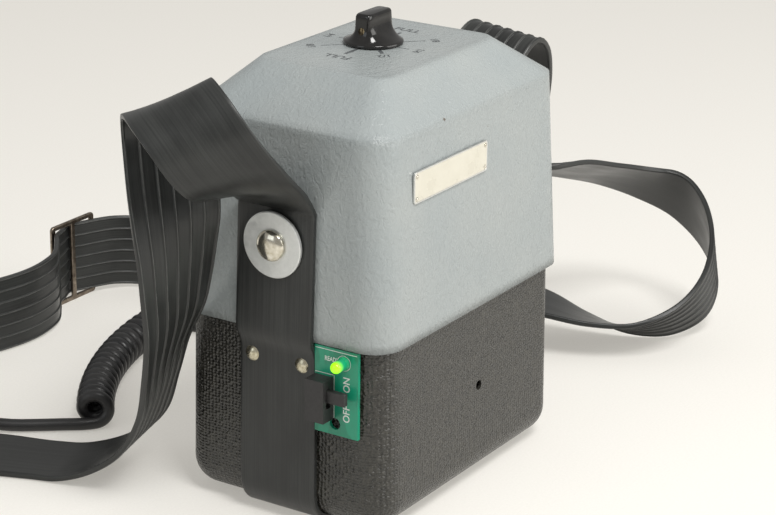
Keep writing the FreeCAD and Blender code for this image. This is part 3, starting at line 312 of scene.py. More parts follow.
# Carrying strap: one closed band of black rubber, 38 mm wide, with seven fine beads moulded
# along one side and fine die lines along the smooth side. It runs under the case, up both ends,
# and falls in two loops that meet in a slide buckle behind the case.
band_route = [
    (-75.0, -0.2, 140.5, 0.00, -1.00, 0.00), (-83.0, -0.3, 148.0, 0.10, -0.99, 0.08),
    (-97.0, -1.5, 154.3, 0.27, -0.91, 0.31), (-110.0, -2.2, 162.5, 0.39, -0.78, 0.49),
    (-119.0, 0.6, 173.0, 0.52, -0.66, 0.57), (-121.7, 8.8, 184.6, 0.64, -0.59, 0.54),
    (-117.0, 20.3, 190.4, 0.70, -0.57, 0.46), (-106.7, 30.5, 187.6, 0.73, -0.64, 0.30),
    (-97.5, 38.3, 179.5, 0.69, -0.74, 0.13), (-95.0, 39.8, 168.0, 0.67, -0.77, 0.07),
    (-100.2, 34.2, 153.0, 0.69, -0.71, 0.04), (-104.4, 29.5, 138.0, 0.81, -0.55, 0.01),
    (-104.3, 29.2, 124.0, 0.92, -0.35, 0.05), (-102.8, 30.8, 107.0, 0.96, -0.20, 0.14),
    (-99.6, 34.4, 90.4, 0.97, -0.07, 0.22), (-94.0, 43.8, 70.0, 0.93, 0.08, 0.30),
    (-87.2, 54.2, 48.0, 0.95, 0.14, 0.31), (-82.2, 67.3, 26.6, 0.97, 0.08, 0.21),
    (-81.4, 85.0, 11.6, 0.98, 0.12, 0.10), (-84.0, 104.0, 3.3, 0.97, 0.24, 0.03),
    (-88.6, 120.5, 1.7, 0.95, 0.32, 0.00), (-97.5, 140.5, 2.5, 0.91, 0.42, 0.03),
    (-114.0, 163.0, 4.3, 0.88, 0.46, 0.10), (-126.0, 187.0, 8.6, 0.86, 0.35, 0.37),
    (-133.0, 212.0, 14.6, 0.71, 0.07, 0.70), (-129.0, 236.0, 18.4, 0.36, -0.22, 0.90),
    (-110.0, 250.0, 19.4, 0.06, -0.12, 0.99), (-82.0, 252.5, 19.8, 0.00, 0.00, 1.00),
    (-48.0, 243.0, 19.8, 0.00, 0.00, 1.00), (-12.0, 229.0, 19.8, 0.00, 0.00, 1.00),
    (20.0, 221.5, 20.0, 0.00, 0.00, 1.00), (44.0, 224.0, 21.0, 0.00, 0.00, 1.00),
    (58.0, 233.0, 22.2, 0.00, 0.00, 1.00), (66.0, 239.8, 22.2, 0.00, 0.00, 1.00),
    (74.0, 243.0, 22.2, 0.00, 0.00, 1.00), (82.0, 246.2, 22.2, 0.00, 0.00, 1.00),
    (90.0, 243.0, 22.2, 0.00, 0.00, 1.00), (98.0, 239.8, 22.2, 0.00, 0.00, 1.00),
    (107.0, 235.0, 22.0, 0.00, 0.00, 1.00), (116.0, 226.0, 21.0, 0.00, 0.00, 1.00),
    (121.5, 208.0, 20.4, -0.05, 0.00, 1.00), (124.5, 180.0, 20.0, -0.28, -0.04, 0.96),
    (129.0, 145.0, 20.0, -0.52, -0.08, 0.85), (135.0, 108.0, 20.2, -0.73, -0.12, 0.67),
    (142.0, 73.0, 21.8, -0.88, -0.19, 0.43), (150.0, 45.0, 25.0, -0.95, -0.27, 0.15),
    (157.0, 24.0, 26.5, -0.94, -0.32, -0.02), (164.0, 4.0, 23.0, -0.92, -0.38, 0.05),
    (172.0, -16.0, 16.5, -0.86, -0.46, 0.22), (183.0, -36.0, 12.5, -0.77, -0.46, 0.44),
    (197.0, -52.0, 16.0, -0.65, -0.37, 0.66), (215.0, -60.0, 25.5, -0.60, -0.20, 0.77),
    (233.0, -56.0, 38.5, -0.60, -0.18, 0.78), (246.5, -43.0, 51.0, -0.56, -0.30, 0.77),
    (252.5, -26.5, 61.0, -0.50, -0.50, 0.71), (248.0, -11.0, 67.0, -0.40, -0.72, 0.57),
    (233.5, 0.0, 73.5, -0.28, -0.86, 0.43), (212.0, 6.5, 80.5, -0.16, -0.92, 0.36),
    (189.0, 11.0, 87.5, -0.08, -0.94, 0.33), (167.0, 13.0, 93.0, -0.09, -0.96, 0.26),
    (148.0, 13.0, 104.0, -0.17, -0.98, -0.05), (137.0, 9.0, 121.0, -0.26, -0.92, -0.30),
    (128.5, 3.0, 143.0, -0.20, -0.94, -0.27), (120.5, -1.5, 161.0, -0.12, -0.97, -0.21),
    (111.0, -4.0, 174.0, -0.05, -0.99, -0.14), (100.5, -4.0, 178.5, -0.02, -1.00, -0.07),
    (90.0, -2.4, 171.5, 0.00, -1.00, -0.02), (83.5, -0.4, 157.0, 0.00, -1.00, 0.00),
    (75.0, -0.2, 140.5, 0.00, -1.00, 0.00),
]

band_thick = 0.0026
band_wide = 0.0381
bend_low = 0.0156
corner = 0.0143
ends = [(0.0752, 0.1380), (0.0758, 0.1250), (0.0765, 0.1080), (0.0771, 0.0940), (0.07745, 0.0868),
        (0.0770, 0.0838), (0.0753, 0.0812), (0.0744, 0.0780), (0.0741, 0.0730), (0.0743, 0.0550),
        (0.0746, 0.0350), (0.0749, bend_low)]
for step in range(1, 8):
    turn = math.pi / 2 * step / 8
    ends.append((0.0606 + corner * math.cos(turn), bend_low - corner * math.sin(turn)))
ends += [(0.0606, 0.0013), (0.0450, 0.0013), (0.0250, 0.0013)]
side_line = -0.0002
under_case = [(x, side_line, z, 0.0, -1.0, 0.0) for x, z in ends]
under_case += [(-x, side_line, z, 0.0, -1.0, 0.0) for x, z in reversed(ends)]
stations = [tuple(v * 0.001 for v in row[:3]) + row[3:] for row in band_route] + under_case

rings = []
count = len(stations)
for k in range(count):
    before, start, end, after = (stations[(k + j) % count] for j in (-1, 0, 1, 2))
    reach = (Vector(end[:3]) - Vector(start[:3])).length
    steps = max(1, round(reach / 0.0028))
    for step in range(steps):
        t = step / steps
        rings.append([b + 0.5 * t * (c - a + t * (2 * a - 5 * b + 4 * c - d + t * (3 * b - a - 3 * c + d)))
                      for a, b, c, d in zip(before, start, end, after)])

half = band_wide / 2
face = band_thick / 2
outline = [(-half + 0.0004, -face), (-half + 0.0015, -face)]
outline += [(-half + 0.0015 + k * (band_wide - 0.003) / 8, -face) for k in range(1, 9)]
outline += [(half - 0.0004, -face), (half - 0.0001, -face + 0.0002), (half, -face + 0.0006),
            (half, face - 0.0012)]
panel = face - 0.0006
for bead in range(7):
    at = half - 0.0008 - bead * (band_wide - 0.0016) / 6
    outline += [(at + 0.00075, panel + (0.0002 if bead == 0 else 0.0)), (at + 0.0005, panel + 0.00032),
                (at + 0.0002, face), (at - 0.0002, face), (at - 0.0005, panel + 0.00032),
                (at - 0.00075, panel + (0.0002 if bead == 6 else 0.0))]
outline += [(-half, face - 0.0012), (-half, -face + 0.0006), (-half + 0.0001, -face + 0.0002)]

band_mesh = bpy.data.meshes.new("carrying_strap")
band = bmesh.new()
grain_map = band.loops.layers.uv.new("along")
loops = []
travel = []
run = 0.0
for k, row in enumerate(rings):
    here = Vector(row[:3])
    ahead = (Vector(rings[(k + 1) % len(rings)][:3]) - Vector(rings[k - 1][:3])).normalized()
    across = Vector(row[3:])
    across = (across - ahead * across.dot(ahead)).normalized()
    outward = ahead.cross(across)
    if k:
        run += (here - Vector(rings[k - 1][:3])).length
    travel.append(run)
    loops.append([band.verts.new(here + across * a + outward * b) for a, b in outline])
girth = len(outline)
for k, low in enumerate(loops):
    high = loops[(k + 1) % len(loops)]
    far = travel[k + 1] if k + 1 < len(loops) else run + 0.003
    for j in range(girth):
        n = (j + 1) % girth
        made = band.faces.new((low[j], low[n], high[n], high[j]))
        # Faces along the bead tops take the second material, whose lighter grey is a painted highlight for
        # the sheen along the beads.
        made.material_index = int(outline[j][1] == outline[n][1] == face)
        for loop, (u, v) in zip(made.loops, ((j, travel[k]), (j + 1, travel[k]), (j + 1, far), (j, far))):
            place = outline[u % girth]
            loop[grain_map].uv = (place[0] + (0.05 if place[1] > 0 else 0.0), v)
bmesh.ops.recalc_face_normals(band, faces=band.faces)
band.to_mesh(band_mesh)
band.free()
carrying_strap = placed("carrying_strap", band_mesh, angle=50.0)

strap_rubber, nodes, links, shader, where = finish("strap_rubber", (0.040, 0.041, 0.040), 0.36)
shader.inputs["Specular IOR Level"].default_value = 0.42
mapped = nodes.new("ShaderNodeUVMap")
mapped.uv_map = "along"
lines = mottle(nodes, links, stretch(nodes, links, mapped.outputs["UV"], (1500.0, 7.0, 1.0)), 1.0, 4.0)
wear = mottle(nodes, links, stretch(nodes, links, mapped.outputs["UV"], (90.0, 30.0, 1.0)), 1.0, 5.0)
tone = nodes.new("ShaderNodeMath")
tone.operation = "MULTIPLY"
links.new(lines, tone.inputs[0])
links.new(wear, tone.inputs[1])
between(nodes, links, tone.outputs[0], (0.14, (0.019, 0.020, 0.0195)), (0.40, (0.040, 0.042, 0.040)),
        shader.inputs["Base Color"])
between(nodes, links, wear, (0.3, 0.28), (0.75, 0.46), shader.inputs["Roughness"])
relief(nodes, links, shader, lines, 0.000035)
relief(nodes, links, shader, mottle(nodes, links, where, 1800.0), 0.000012)
band_mesh.materials.append(strap_rubber)
# Bead tops: a mottled lighter grey, a painted highlight standing in for the sheen on the beads.
bead_top_painted_highlight, nodes, links, shader, where = finish("bead_top_painted_highlight", (0.10, 0.102, 0.098), 0.34)
between(nodes, links, mottle(nodes, links, where, 300.0, 4.0), (0.3, (0.055, 0.057, 0.054)),
        (0.75, (0.120, 0.123, 0.116)), shader.inputs["Base Color"])
band_mesh.materials.append(bead_top_painted_highlight)
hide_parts("strap_sling", "strap_left_rise", "strap_left_fall", "strap_left_floor",
            "strap_outer_bend", "strap_outer_run", "strap_buckle_pass", "strap_rear_low", "strap_rear_twist",
            "strap_right_low", "strap_right_top", "strap_right_drape", "strap_right_crest")
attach(carrying_strap, "pack")

# Slide buckle of the strap: a frame with three uprights, stamped from 1.8 mm steel sheet,
# plated an antique brown and rubbed bright along its edges. It stands on its lower edge.
buckle_at = (0.082, 0.243)
columns = [-0.017, -0.0140, -0.0015, 0.0015, 0.0140, 0.017]
rows = [0.0, 0.0024, 0.0420, 0.0444]
plate = bmesh.new()
posts = {}
for i, x in enumerate(columns):
    for j, z in enumerate(rows):
        posts[i, j] = plate.verts.new((buckle_at[0] + x, buckle_at[1] - 0.0009, z))
for i in range(5):
    for j in range(3):
        if j != 1 or i in (0, 2, 4):
            plate.faces.new((posts[i, j], posts[i + 1, j], posts[i + 1, j + 1], posts[i, j + 1]))
sheet = bmesh.ops.extrude_face_region(plate, geom=plate.faces[:])
for vert in [v for v in sheet["geom"] if isinstance(v, bmesh.types.BMVert)]:
    vert.co.y += 0.0018
corners = [e for e in plate.edges
           if abs(e.verts[0].co.x - e.verts[1].co.x) < 1e-6 and abs(e.verts[0].co.z - e.verts[1].co.z) < 1e-6
           and abs(abs(e.verts[0].co.x - buckle_at[0]) - 0.017) < 1e-5
           and (e.verts[0].co.z < 1e-5 or e.verts[0].co.z > 0.0443)]
bmesh.ops.bevel(plate, geom=corners, offset=0.0021, segments=5, affect="EDGES", profile=0.5)
bmesh.ops.recalc_face_normals(plate, faces=plate.faces)
buckle_mesh = bpy.data.meshes.new("slide_buckle")
plate.to_mesh(buckle_mesh)
plate.free()
slide_buckle = placed("slide_buckle", buckle_mesh)
rounding = slide_buckle.modifiers.new("edges", "BEVEL")
rounding.width = 0.0005
rounding.segments = 3
rounding.limit_method = "ANGLE"
rounding.angle_limit = math.radians(40)
buckle_metal, nodes, links, shader, where = finish("antique_nickel", (0.20, 0.16, 0.125), 0.34, 1.0)
patina = mottle(nodes, links, where, 260.0, 6.0)
between(nodes, links, patina, (0.35, (0.115, 0.090, 0.070)), (0.68, (0.34, 0.29, 0.235)),
        shader.inputs["Base Color"])
between(nodes, links, patina, (0.3, 0.42), (0.75, 0.24), shader.inputs["Roughness"])
relief(nodes, links, shader, patina, 0.00003)
buckle_mesh.materials.append(buckle_metal)
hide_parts("strap_buckle")
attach(slide_buckle, "pack")

# Upper cover: deep-drawn steel, stove-enamelled grey-blue with a soft wrinkle finish.
# Its pressed edges are soft, which the paint's shading gives, and it is chipped in a few places.
cover_node = frame["nodes"]["top_cover"]


def repaint(node, mat):
    """Gives a carried-over part its own finish."""
    node.data.materials.clear()
    node.data.materials.append(mat)


grey_paint, nodes, links, shader, where = finish("wrinkle_paint", (0.350, 0.380, 0.380), 0.26)
shader.inputs["Specular IOR Level"].default_value = 0.5
broad = mottle(nodes, links, where, 26.0, 4.0)
tint = between(nodes, links, broad, (0.3, (0.335, 0.368, 0.372)), (0.72, (0.370, 0.397, 0.393)))
pressed_radius = 0.0065
rounded = nodes.new("ShaderNodeBevel")
rounded.samples = 8
rounded.inputs["Radius"].default_value = pressed_radius
links.new(rounded.outputs["Normal"], shader.inputs["Normal"])
wrinkle = mottle(nodes, links, stretch(nodes, links, where, (1.0, 1.0, 0.6)), 330.0, 3.0, 1.4)
fine = mottle(nodes, links, where, 1100.0, 2.0, 0.6)
relief(nodes, links, shader, wrinkle, 0.00042)
relief(nodes, links, shader, fine, 0.00010)
between(nodes, links, wrinkle, (0.35, 0.20), (0.75, 0.34), shader.inputs["Roughness"])
chips = [((-0.0262, -0.0505, 0.1746), 0.0011), ((-0.0290, -0.0506, 0.1752), 0.0007),
         ((-0.0727, 0.0150, 0.1560), 0.0005), ((0.0085, -0.0510, 0.1630), 0.0006),
         ((0.0330, -0.0514, 0.1660), 0.0005), ((-0.0700, -0.0100, 0.1370), 0.0004)]
worn = tint
for spot, size in chips:
    far = nodes.new("ShaderNodeVectorMath")
    far.operation = "DISTANCE"
    far.inputs[1].default_value = spot
    links.new(where, far.inputs[0])
    wobble = nodes.new("ShaderNodeMath")
    wobble.operation = "MULTIPLY_ADD"
    wobble.inputs[1].default_value = 0.0022
    links.new(mottle(nodes, links, where, 1500.0, 3.0), wobble.inputs[0])
    links.new(far.outputs["Value"], wobble.inputs[2])
    mask = between(nodes, links, wobble.outputs[0], (0.0008 + size, 1.0), (0.0013 + size, 0.0))
    mix = nodes.new("ShaderNodeMix")
    mix.data_type = "RGBA"
    mix.inputs["B"].default_value = (0.14, 0.115, 0.095, 1.0)
    links.new(worn, mix.inputs["A"])
    links.new(mask, mix.inputs["Factor"])
    worn = mix.outputs["Result"]
links.new(worn, shader.inputs["Base Color"])
repaint(cover_node, grey_paint)

# Lower case: pressed steel wrapped in a black leather-grain vinyl, glossy and worn smooth
# on the corners, with the grain drawn out where it was stretched round them.
case_node = frame["nodes"]["lower_case"]
grain_vinyl, nodes, links, shader, where = finish("leather_grain", (0.040, 0.038, 0.032), 0.34)
shader.inputs["Specular IOR Level"].default_value = 0.6
cells = nodes.new("ShaderNodeTexVoronoi")
cells.feature = "SMOOTH_F1"
cells.inputs["Scale"].default_value = 560.0
cells.inputs["Smoothness"].default_value = 0.35
cells.inputs["Randomness"].default_value = 0.45
links.new(stretch(nodes, links, where, (1.0, 1.0, 1.35)), cells.inputs["Vector"])
creases = mottle(nodes, links, where, 240.0, 4.0, 2.2)
relief(nodes, links, shader, creases, 0.00045)
relief(nodes, links, shader, cells.outputs["Distance"], 0.00085)
between(nodes, links, creases, (0.35, (0.018, 0.0172, 0.0145)), (0.70, (0.046, 0.0435, 0.0355)),
        shader.inputs["Base Color"])
between(nodes, links, creases, (0.3, 0.22), (0.75, 0.36), shader.inputs["Roughness"])
repaint(case_node, grain_vinyl)

# Blank name plate: thin aluminium with cream enamel inside a bare rim. It leans with the
# shoulder of the cover and is held by four drive pins.
plate_low, plate_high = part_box("blank_nameplate")
cream_enamel, nodes, links, shader, where = finish("cream_enamel", (0.68, 0.655, 0.575), 0.30)
aged = mottle(nodes, links, where, 130.0, 5.0)
between(nodes, links, aged, (0.3, (0.66, 0.63, 0.53)), (0.7, (0.72, 0.69, 0.59)),
        shader.inputs["Base Color"])
between(nodes, links, aged, (0.3, 0.24), (0.8, 0.42), shader.inputs["Roughness"])
relief(nodes, links, shader, mottle(nodes, links, where, 900.0), 0.00002)
panel_mesh = bpy.data.meshes.new("blank_nameplate_face")
panel = bmesh.new()
plate_thick = 0.0008
lean = (plate_high.y - plate_low.y) - plate_thick
tilt = Vector((0.0, lean, plate_high.z - plate_low.z)).normalized()
foot = Vector(((plate_low.x + plate_high.x) / 2, plate_low.y, plate_low.z))
plate_normal = Vector((0.0, -tilt.z, tilt.y))
high = (plate_high.z - plate_low.z) / tilt.z
wide = plate_high.x - plate_low.x


def plate_layer(body, inset, radius, depth):
    """A ring of points round the plate, inset from its edge and raised from its face."""
    ring = []
    for cx, cz, first in ((1, 0, 270), (1, 1, 0), (0, 1, 90), (0, 0, 180)):
        for step in range(6):
            turn = math.radians(first + 18 * step)
            x = (cx - 0.5) * (wide - 2 * inset - 2 * radius) + radius * math.cos(turn)
            z = inset + radius + cz * (high - 2 * inset - 2 * radius) + radius * math.sin(turn)
            ring.append(body.verts.new(foot + Vector((x, 0, 0)) + tilt * z + plate_normal * depth))
    return ring


layers = [plate_layer(panel, 0.0, 0.0016, -plate_thick), plate_layer(panel, 0.0, 0.0016, -0.00012),
          plate_layer(panel, 0.00014, 0.0015, 0.0), plate_layer(panel, 0.0006, 0.0012, 0.00002),
          plate_layer(panel, 0.0007, 0.0011, -0.00006)]
for low, top in zip(layers, layers[1:]):
    for k in range(len(low)):
        panel.faces.new((low[k], low[(k + 1) % 24], top[(k + 1) % 24], top[k]))
enamel = panel.faces.new(layers[-1])
enamel.material_index = 1
panel.faces.new(reversed(layers[0]))
bmesh.ops.recalc_face_normals(panel, faces=panel.faces)
panel.to_mesh(panel_mesh)
panel.free()
name_plate = placed("name_plate_blank", panel_mesh)
bare_aluminium, nodes, links, shader, where = finish("bare_aluminium", (0.72, 0.72, 0.70), 0.32, 1.0)
scratch = mottle(nodes, links, stretch(nodes, links, where, (60.0, 900.0, 900.0)), 1.0, 4.0)
between(nodes, links, scratch, (0.3, 0.24), (0.75, 0.44), shader.inputs["Roughness"])
relief(nodes, links, shader, scratch, 0.00001)
panel_mesh.materials.append(bare_aluminium)
panel_mesh.materials.append(cream_enamel)
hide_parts("blank_nameplate")
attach(name_plate, "pack")

# Strap fixings on each end: a wide zinc-plated washer under the polished dome of a stud,
# and a pair of domed rivets lower down. The studs are nickel plated and lightly tarnished, and the rivets are
# worn brass.
washer_zinc, nodes, links, shader, where = finish("washer_zinc", (0.72, 0.73, 0.71), 0.40, 0.6)
spangle = mottle(nodes, links, where, 420.0, 5.0)
between(nodes, links, spangle, (0.3, (0.66, 0.675, 0.66)), (0.7, (0.76, 0.77, 0.755)),
        shader.inputs["Base Color"])
between(nodes, links, spangle, (0.3, 0.30), (0.75, 0.50), shader.inputs["Roughness"])
relief(nodes, links, shader, spangle, 0.00002)
nickel, nodes, links, shader, where = finish("nickel_plate", (0.66, 0.63, 0.55), 0.13, 1.0)
tarnish = mottle(nodes, links, where, 500.0, 5.0)
between(nodes, links, tarnish, (0.35, (0.70, 0.67, 0.59)), (0.72, (0.50, 0.46, 0.36)),
        shader.inputs["Base Color"])
between(nodes, links, tarnish, (0.35, 0.10), (0.75, 0.28), shader.inputs["Roughness"])
relief(nodes, links, shader, mottle(nodes, links, where, 900.0, 3.0), 0.000015)
stud_level = 0.125
washer_thick = 0.0016
washer_low, washer_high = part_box("strap_washers")
stud_low, stud_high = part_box("strap_studs")
for end, side in ((-1, "left"), (1, "right")):
    outer = washer_low.x if end < 0 else washer_high.x
    centre = Vector((outer - end * washer_thick, side_line, stud_level))
    washer = lathe("strap_washer_" + side, [
        (0.0, 0.0026), (0.0, 0.0139), (0.0002, 0.0143), (0.0013, 0.0143), (washer_thick, 0.0139),
        (washer_thick, 0.0026),
    ], centre, (end, 0, 0), 96)
    washer.data.materials.append(washer_zinc)
    tip = abs((stud_low.x if end < 0 else stud_high.x) - outer)
    crown = [(-0.0014, 0.0025), (0.0, 0.0025), (0.0, 0.0064), (0.0003, 0.0067), (0.0008, 0.0068)]
    for step in range(1, 9):
        turn = math.pi / 2 * step / 9
        crown.append((0.0008 + (tip - 0.0008) * math.sin(turn), 0.0068 * math.cos(turn)))
    crown.append((tip - 0.00001, 0.0004))
    stud = lathe("strap_stud_" + side, crown, (outer, side_line, stud_level), (end, 0, 0), 64)
    stud.data.materials.append(nickel)
    for thing in (washer, stud):
        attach(thing, "pack")
    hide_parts("strap_washers")
    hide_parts("strap_studs")

for name in ("rivet_burrs", "nameplate_pins"):
    repaint(frame["nodes"][name], nickel)
worn_brass, nodes, links, shader, where = finish("worn_brass", (0.55, 0.51, 0.38), 0.28, 1.0)
rubbed = mottle(nodes, links, where, 700.0, 5.0)
between(nodes, links, rubbed, (0.35, (0.42, 0.38, 0.27)), (0.70, (0.66, 0.62, 0.49)),
        shader.inputs["Base Color"])
between(nodes, links, rubbed, (0.3, 0.40), (0.75, 0.20), shader.inputs["Roughness"])
relief(nodes, links, shader, rubbed, 0.00004)
repaint(frame["nodes"]["strap_rivets"], worn_brass)

# Status board: green glass-fibre board with white print, held to the case by foam tape.
# It carries a pale green ready lamp, which glows, and a right-angle slide switch.
face_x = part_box("status_board")[0].x
print_x = face_x - 0.00003
lamp_across, lamp_level = -0.0339, 0.0792
board_mask, nodes, links, shader, where = finish("solder_mask", (0.010, 0.27, 0.145), 0.30)
shader.inputs["Specular IOR Level"].default_value = 0.6
weave = nodes.new("ShaderNodeTexWave")
weave.inputs["Scale"].default_value = 420.0
weave.inputs["Distortion"].default_value = 0.6
links.new(where, weave.inputs["Vector"])
relief(nodes, links, shader, weave.outputs["Fac"], 0.000008)
copper = mottle(nodes, links, stretch(nodes, links, where, (1.0, 1.0, 0.35)), 190.0, 1.0)
between(nodes, links, copper, (0.46, (0.008, 0.22, 0.125)), (0.52, (0.010, 0.30, 0.170)),
        shader.inputs["Base Color"])
repaint(frame["nodes"]["status_board"], board_mask)

print_white, nodes, links, shader, where = finish("board_print", (0.72, 0.75, 0.70), 0.5)
between(nodes, links, mottle(nodes, links, where, 2400.0), (0.3, (0.60, 0.66, 0.60)),
        (0.6, (0.78, 0.80, 0.76)), shader.inputs["Base Color"])
ink = bmesh.new()
strokes = [(-19.9, 83.6, -40.2, 83.6), (-19.9, 72.9, -29.1, 72.9), (-29.1, 72.9, -29.1, 53.9),
           (-19.9, 53.9, -29.1, 53.9), (-35.7, 77.2, -35.7, 78.0), (-32.1, 77.2, -32.1, 78.0)]
half_line = 0.00016
for y0, z0, y1, z1 in strokes:
    along = Vector((0, y1 - y0, z1 - z0)).normalized() * half_line
    over = Vector((0, -along.z, along.y))
    a, b = Vector((0, y0, z0)) * 0.001 - along, Vector((0, y1, z1)) * 0.001 + along
    quad = [ink.verts.new(Vector((print_x, 0, 0)) + p) for p in (a - over, b - over, b + over, a + over)]
    ink.faces.new(quad)
ring = []
for k in range(32):
    turn = 2 * math.pi * k / 32
    for size in (0.00315, 0.00340):
        ring.append(ink.verts.new((print_x, lamp_across + size * math.cos(turn),
                                   lamp_level + size * math.sin(turn))))
for k in range(32):
    a, b, c, d = (ring[j % 64] for j in (2 * k, 2 * k + 1, 2 * k + 3, 2 * k + 2))
    ink.faces.new((a, b, c, d))
ink.normal_update()
for made in ink.faces:
    if made.normal.x > 0:
        made.normal_flip()
ink_mesh = bpy.data.meshes.new("board_print_lines")
ink.to_mesh(ink_mesh)
ink.free()
board_print = placed("board_print_lines", ink_mesh, smooth=False)
ink_mesh.materials.append(print_white)
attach(board_print, "pack")


def printed(name, words, size, spot, right, up, mat, weight=0.0, squeeze=1.0):
    """Flat lettering as a plain mesh, centred on a spot, facing where right and up put it."""
    text = bpy.data.curves.new(name, "FONT")
    text.body = words
    text.size = size
    text.align_x = "CENTER"
    text.align_y = "CENTER"
    text.offset = weight
    text.resolution_u = 3
    holder = bpy.data.objects.new(name + "_text", text)
    stage.link(holder)
    bpy.context.view_layer.update()
    mesh = bpy.data.meshes.new_from_object(holder.evaluated_get(bpy.context.evaluated_depsgraph_get()))
    bpy.data.objects.remove(holder)
    right, up = Vector(right).normalized(), Vector(up).normalized()
    mesh.transform(Matrix.Translation(spot) @ Matrix((right, up, right.cross(up))).transposed().to_4x4()
                   @ Matrix.Diagonal((squeeze, 1.0, 1.0, 1.0)))
    mesh.materials.clear()
    mesh.materials.append(mat)
    return placed(name, mesh, smooth=False)


lettering = [
    ("word_ready", "READY", 0.0028, (-27.9, 79.6), (0, -1, 0), (0, 0, 1), 0.82),
    ("word_on", "ON", 0.0046, (-35.4, 69.9), (0, 0, 1), (0, 1, 0), 0.95),
    ("word_off", "OFF", 0.0046, (-35.4, 56.8), (0, 0, 1), (0, 1, 0), 0.95),
]
for name, words, size, (y, z), right, up, squeeze in lettering:
    word = printed(name, words, size, (print_x, y * 0.001, z * 0.001), right, up, print_white,
                   0.00006, squeeze)
    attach(word, "pack")

# Ready lamp: 5 mm green moulded lens on a flange, soldered to the board and lit from inside.
# Its tip glows brighter and yellower than its foot.
lens = [(0.0, 0.0020), (0.0, 0.0029), (0.0009, 0.0029), (0.0011, 0.0026), (0.0012, 0.0025), (0.0057, 0.0025)]
for step in range(1, 9):
    turn = math.pi / 2 * step / 9
    lens.append((0.0057 + 0.0025 * math.sin(turn), 0.0025 * math.cos(turn)))
lens.append((0.0082, 0.0002))
ready_lens = lathe("ready_lens", lens, (face_x, lamp_across, lamp_level), (-1, 0, 0), 48)
lens_glow, nodes, links, shader, where = finish("lens_glow", (0.10, 0.45, 0.12), 0.12)
shader.inputs["Specular IOR Level"].default_value = 0.6
depth = nodes.new("ShaderNodeSeparateXYZ")
links.new(where, depth.inputs["Vector"])
glow = between(nodes, links, depth.outputs["X"], (face_x - 0.0036, (0.01, 0.36, 0.15)),
               (face_x - 0.0066, (0.30, 0.95, 0.01)))
links.new(glow, shader.inputs["Base Color"])
links.new(glow, shader.inputs["Emission Color"])
between(nodes, links, depth.outputs["X"], (face_x - 0.0034, 0.06), (face_x - 0.0076, 0.95),
        shader.inputs["Emission Strength"])
ready_lens.data.materials.append(lens_glow)
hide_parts("ready_lamp")
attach(ready_lens, "pack")


def softened(name, boxes, rounding, segments=3):
    """One or more boxes, low and high corners in metres, as one mesh with rounded edges."""
    mesh = bpy.data.meshes.new(name)
    body = bmesh.new()
    for low, high in boxes:
        made = bmesh.ops.create_cube(body, size=1.0)
        for vert in made["verts"]:
            vert.co = Vector(a + (b - a) * (c + 0.5) for a, b, c in zip(low, high, vert.co))
    bmesh.ops.recalc_face_normals(body, faces=body.faces)
    body.to_mesh(mesh)
    body.free()
    thing = placed(name, mesh)
    edge = thing.modifiers.new("edges", "BEVEL")
    edge.width = rounding
    edge.segments = segments
    edge.limit_method = "ANGLE"
    return thing


# Slide switch: black moulded housing soldered to the board, slotted on its side for a lever
# with rubbed corners that slides down from ON to OFF.
switch_black, nodes, links, shader, where = finish("switch_moulding", (0.022, 0.021, 0.022), 0.46)
cast = mottle(nodes, links, where, 700.0, 4.0)
between(nodes, links, cast, (0.3, (0.016, 0.0155, 0.016)), (0.75, (0.034, 0.032, 0.032)),
        shader.inputs["Base Color"])
between(nodes, links, cast, (0.3, 0.38), (0.75, 0.58), shader.inputs["Roughness"])
relief(nodes, links, shader, mottle(nodes, links, where, 3000.0), 0.00002)
repaint(frame["nodes"]["slide_switch_body"], switch_black)
lever_low, lever_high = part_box("slide_switch_lever")
lever = softened("slide_lever", [(lever_low, lever_high)], 0.00035)
lever.data.materials.append(switch_black)
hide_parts("slide_switch_lever")
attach(lever, "switch_lever")

# Selector knob: gloss black moulding, a thin skirt that sweeps up into a finger bar.
# A slotted brass screw in the bar's end holds it on the shaft.
knob_low, knob_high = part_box("selector_knob")
knob_at = (knob_low + knob_high) / 2
knob_base = knob_low.z
knob_tall = knob_high.z - knob_low.z
knob_mesh = bpy.data.meshes.new("bar_knob")
knob = bmesh.new()
sections = [(0.0, 12.7, 12.7, 2.0), (0.15, 13.0, 13.0, 2.0), (0.9, 13.0, 13.0, 2.0), (1.15, 12.8, 12.8, 2.0),
            (1.5, 12.2, 11.7, 2.0), (2.2, 11.6, 10.2, 2.1), (3.0, 11.1, 8.6, 2.3), (4.0, 10.4, 6.9, 2.8),
            (5.0, 9.85, 5.6, 3.6), (6.2, 9.5, 4.7, 5.0), (8.0, 9.35, 4.2, 7.0), (10.0, 9.25, 4.0, 8.0),
            (11.4, 9.15, 3.9, 8.0), (12.1, 8.95, 3.7, 7.0), (12.5, 8.6, 3.35, 6.0), (12.6, 8.2, 3.0, 5.0)]
steps = 112
loops = []
for z, long, short, power in sections:
    loop = []
    for k in range(steps):
        turn = 2 * math.pi * k / steps
        c, s = math.cos(turn), math.sin(turn)
        x = long * math.copysign(abs(c) ** (2 / power), c)
        y = short * math.copysign(abs(s) ** (2 / power), s)
        loop.append(knob.verts.new((knob_at.x + x * 0.001, knob_at.y + y * 0.001,
                                    knob_base + z * 0.001 * knob_tall / 0.0126)))
    loops.append(loop)
for low, top in zip(loops, loops[1:]):
    for k in range(steps):
        knob.faces.new((low[k], low[(k + 1) % steps], top[(k + 1) % steps], top[k]))
knob.faces.new(reversed(loops[0]))
knob.faces.new(loops[-1])
bmesh.ops.recalc_face_normals(knob, faces=knob.faces)
knob.to_mesh(knob_mesh)
knob.free()
bar_knob = placed("bar_knob", knob_mesh, angle=50.0)
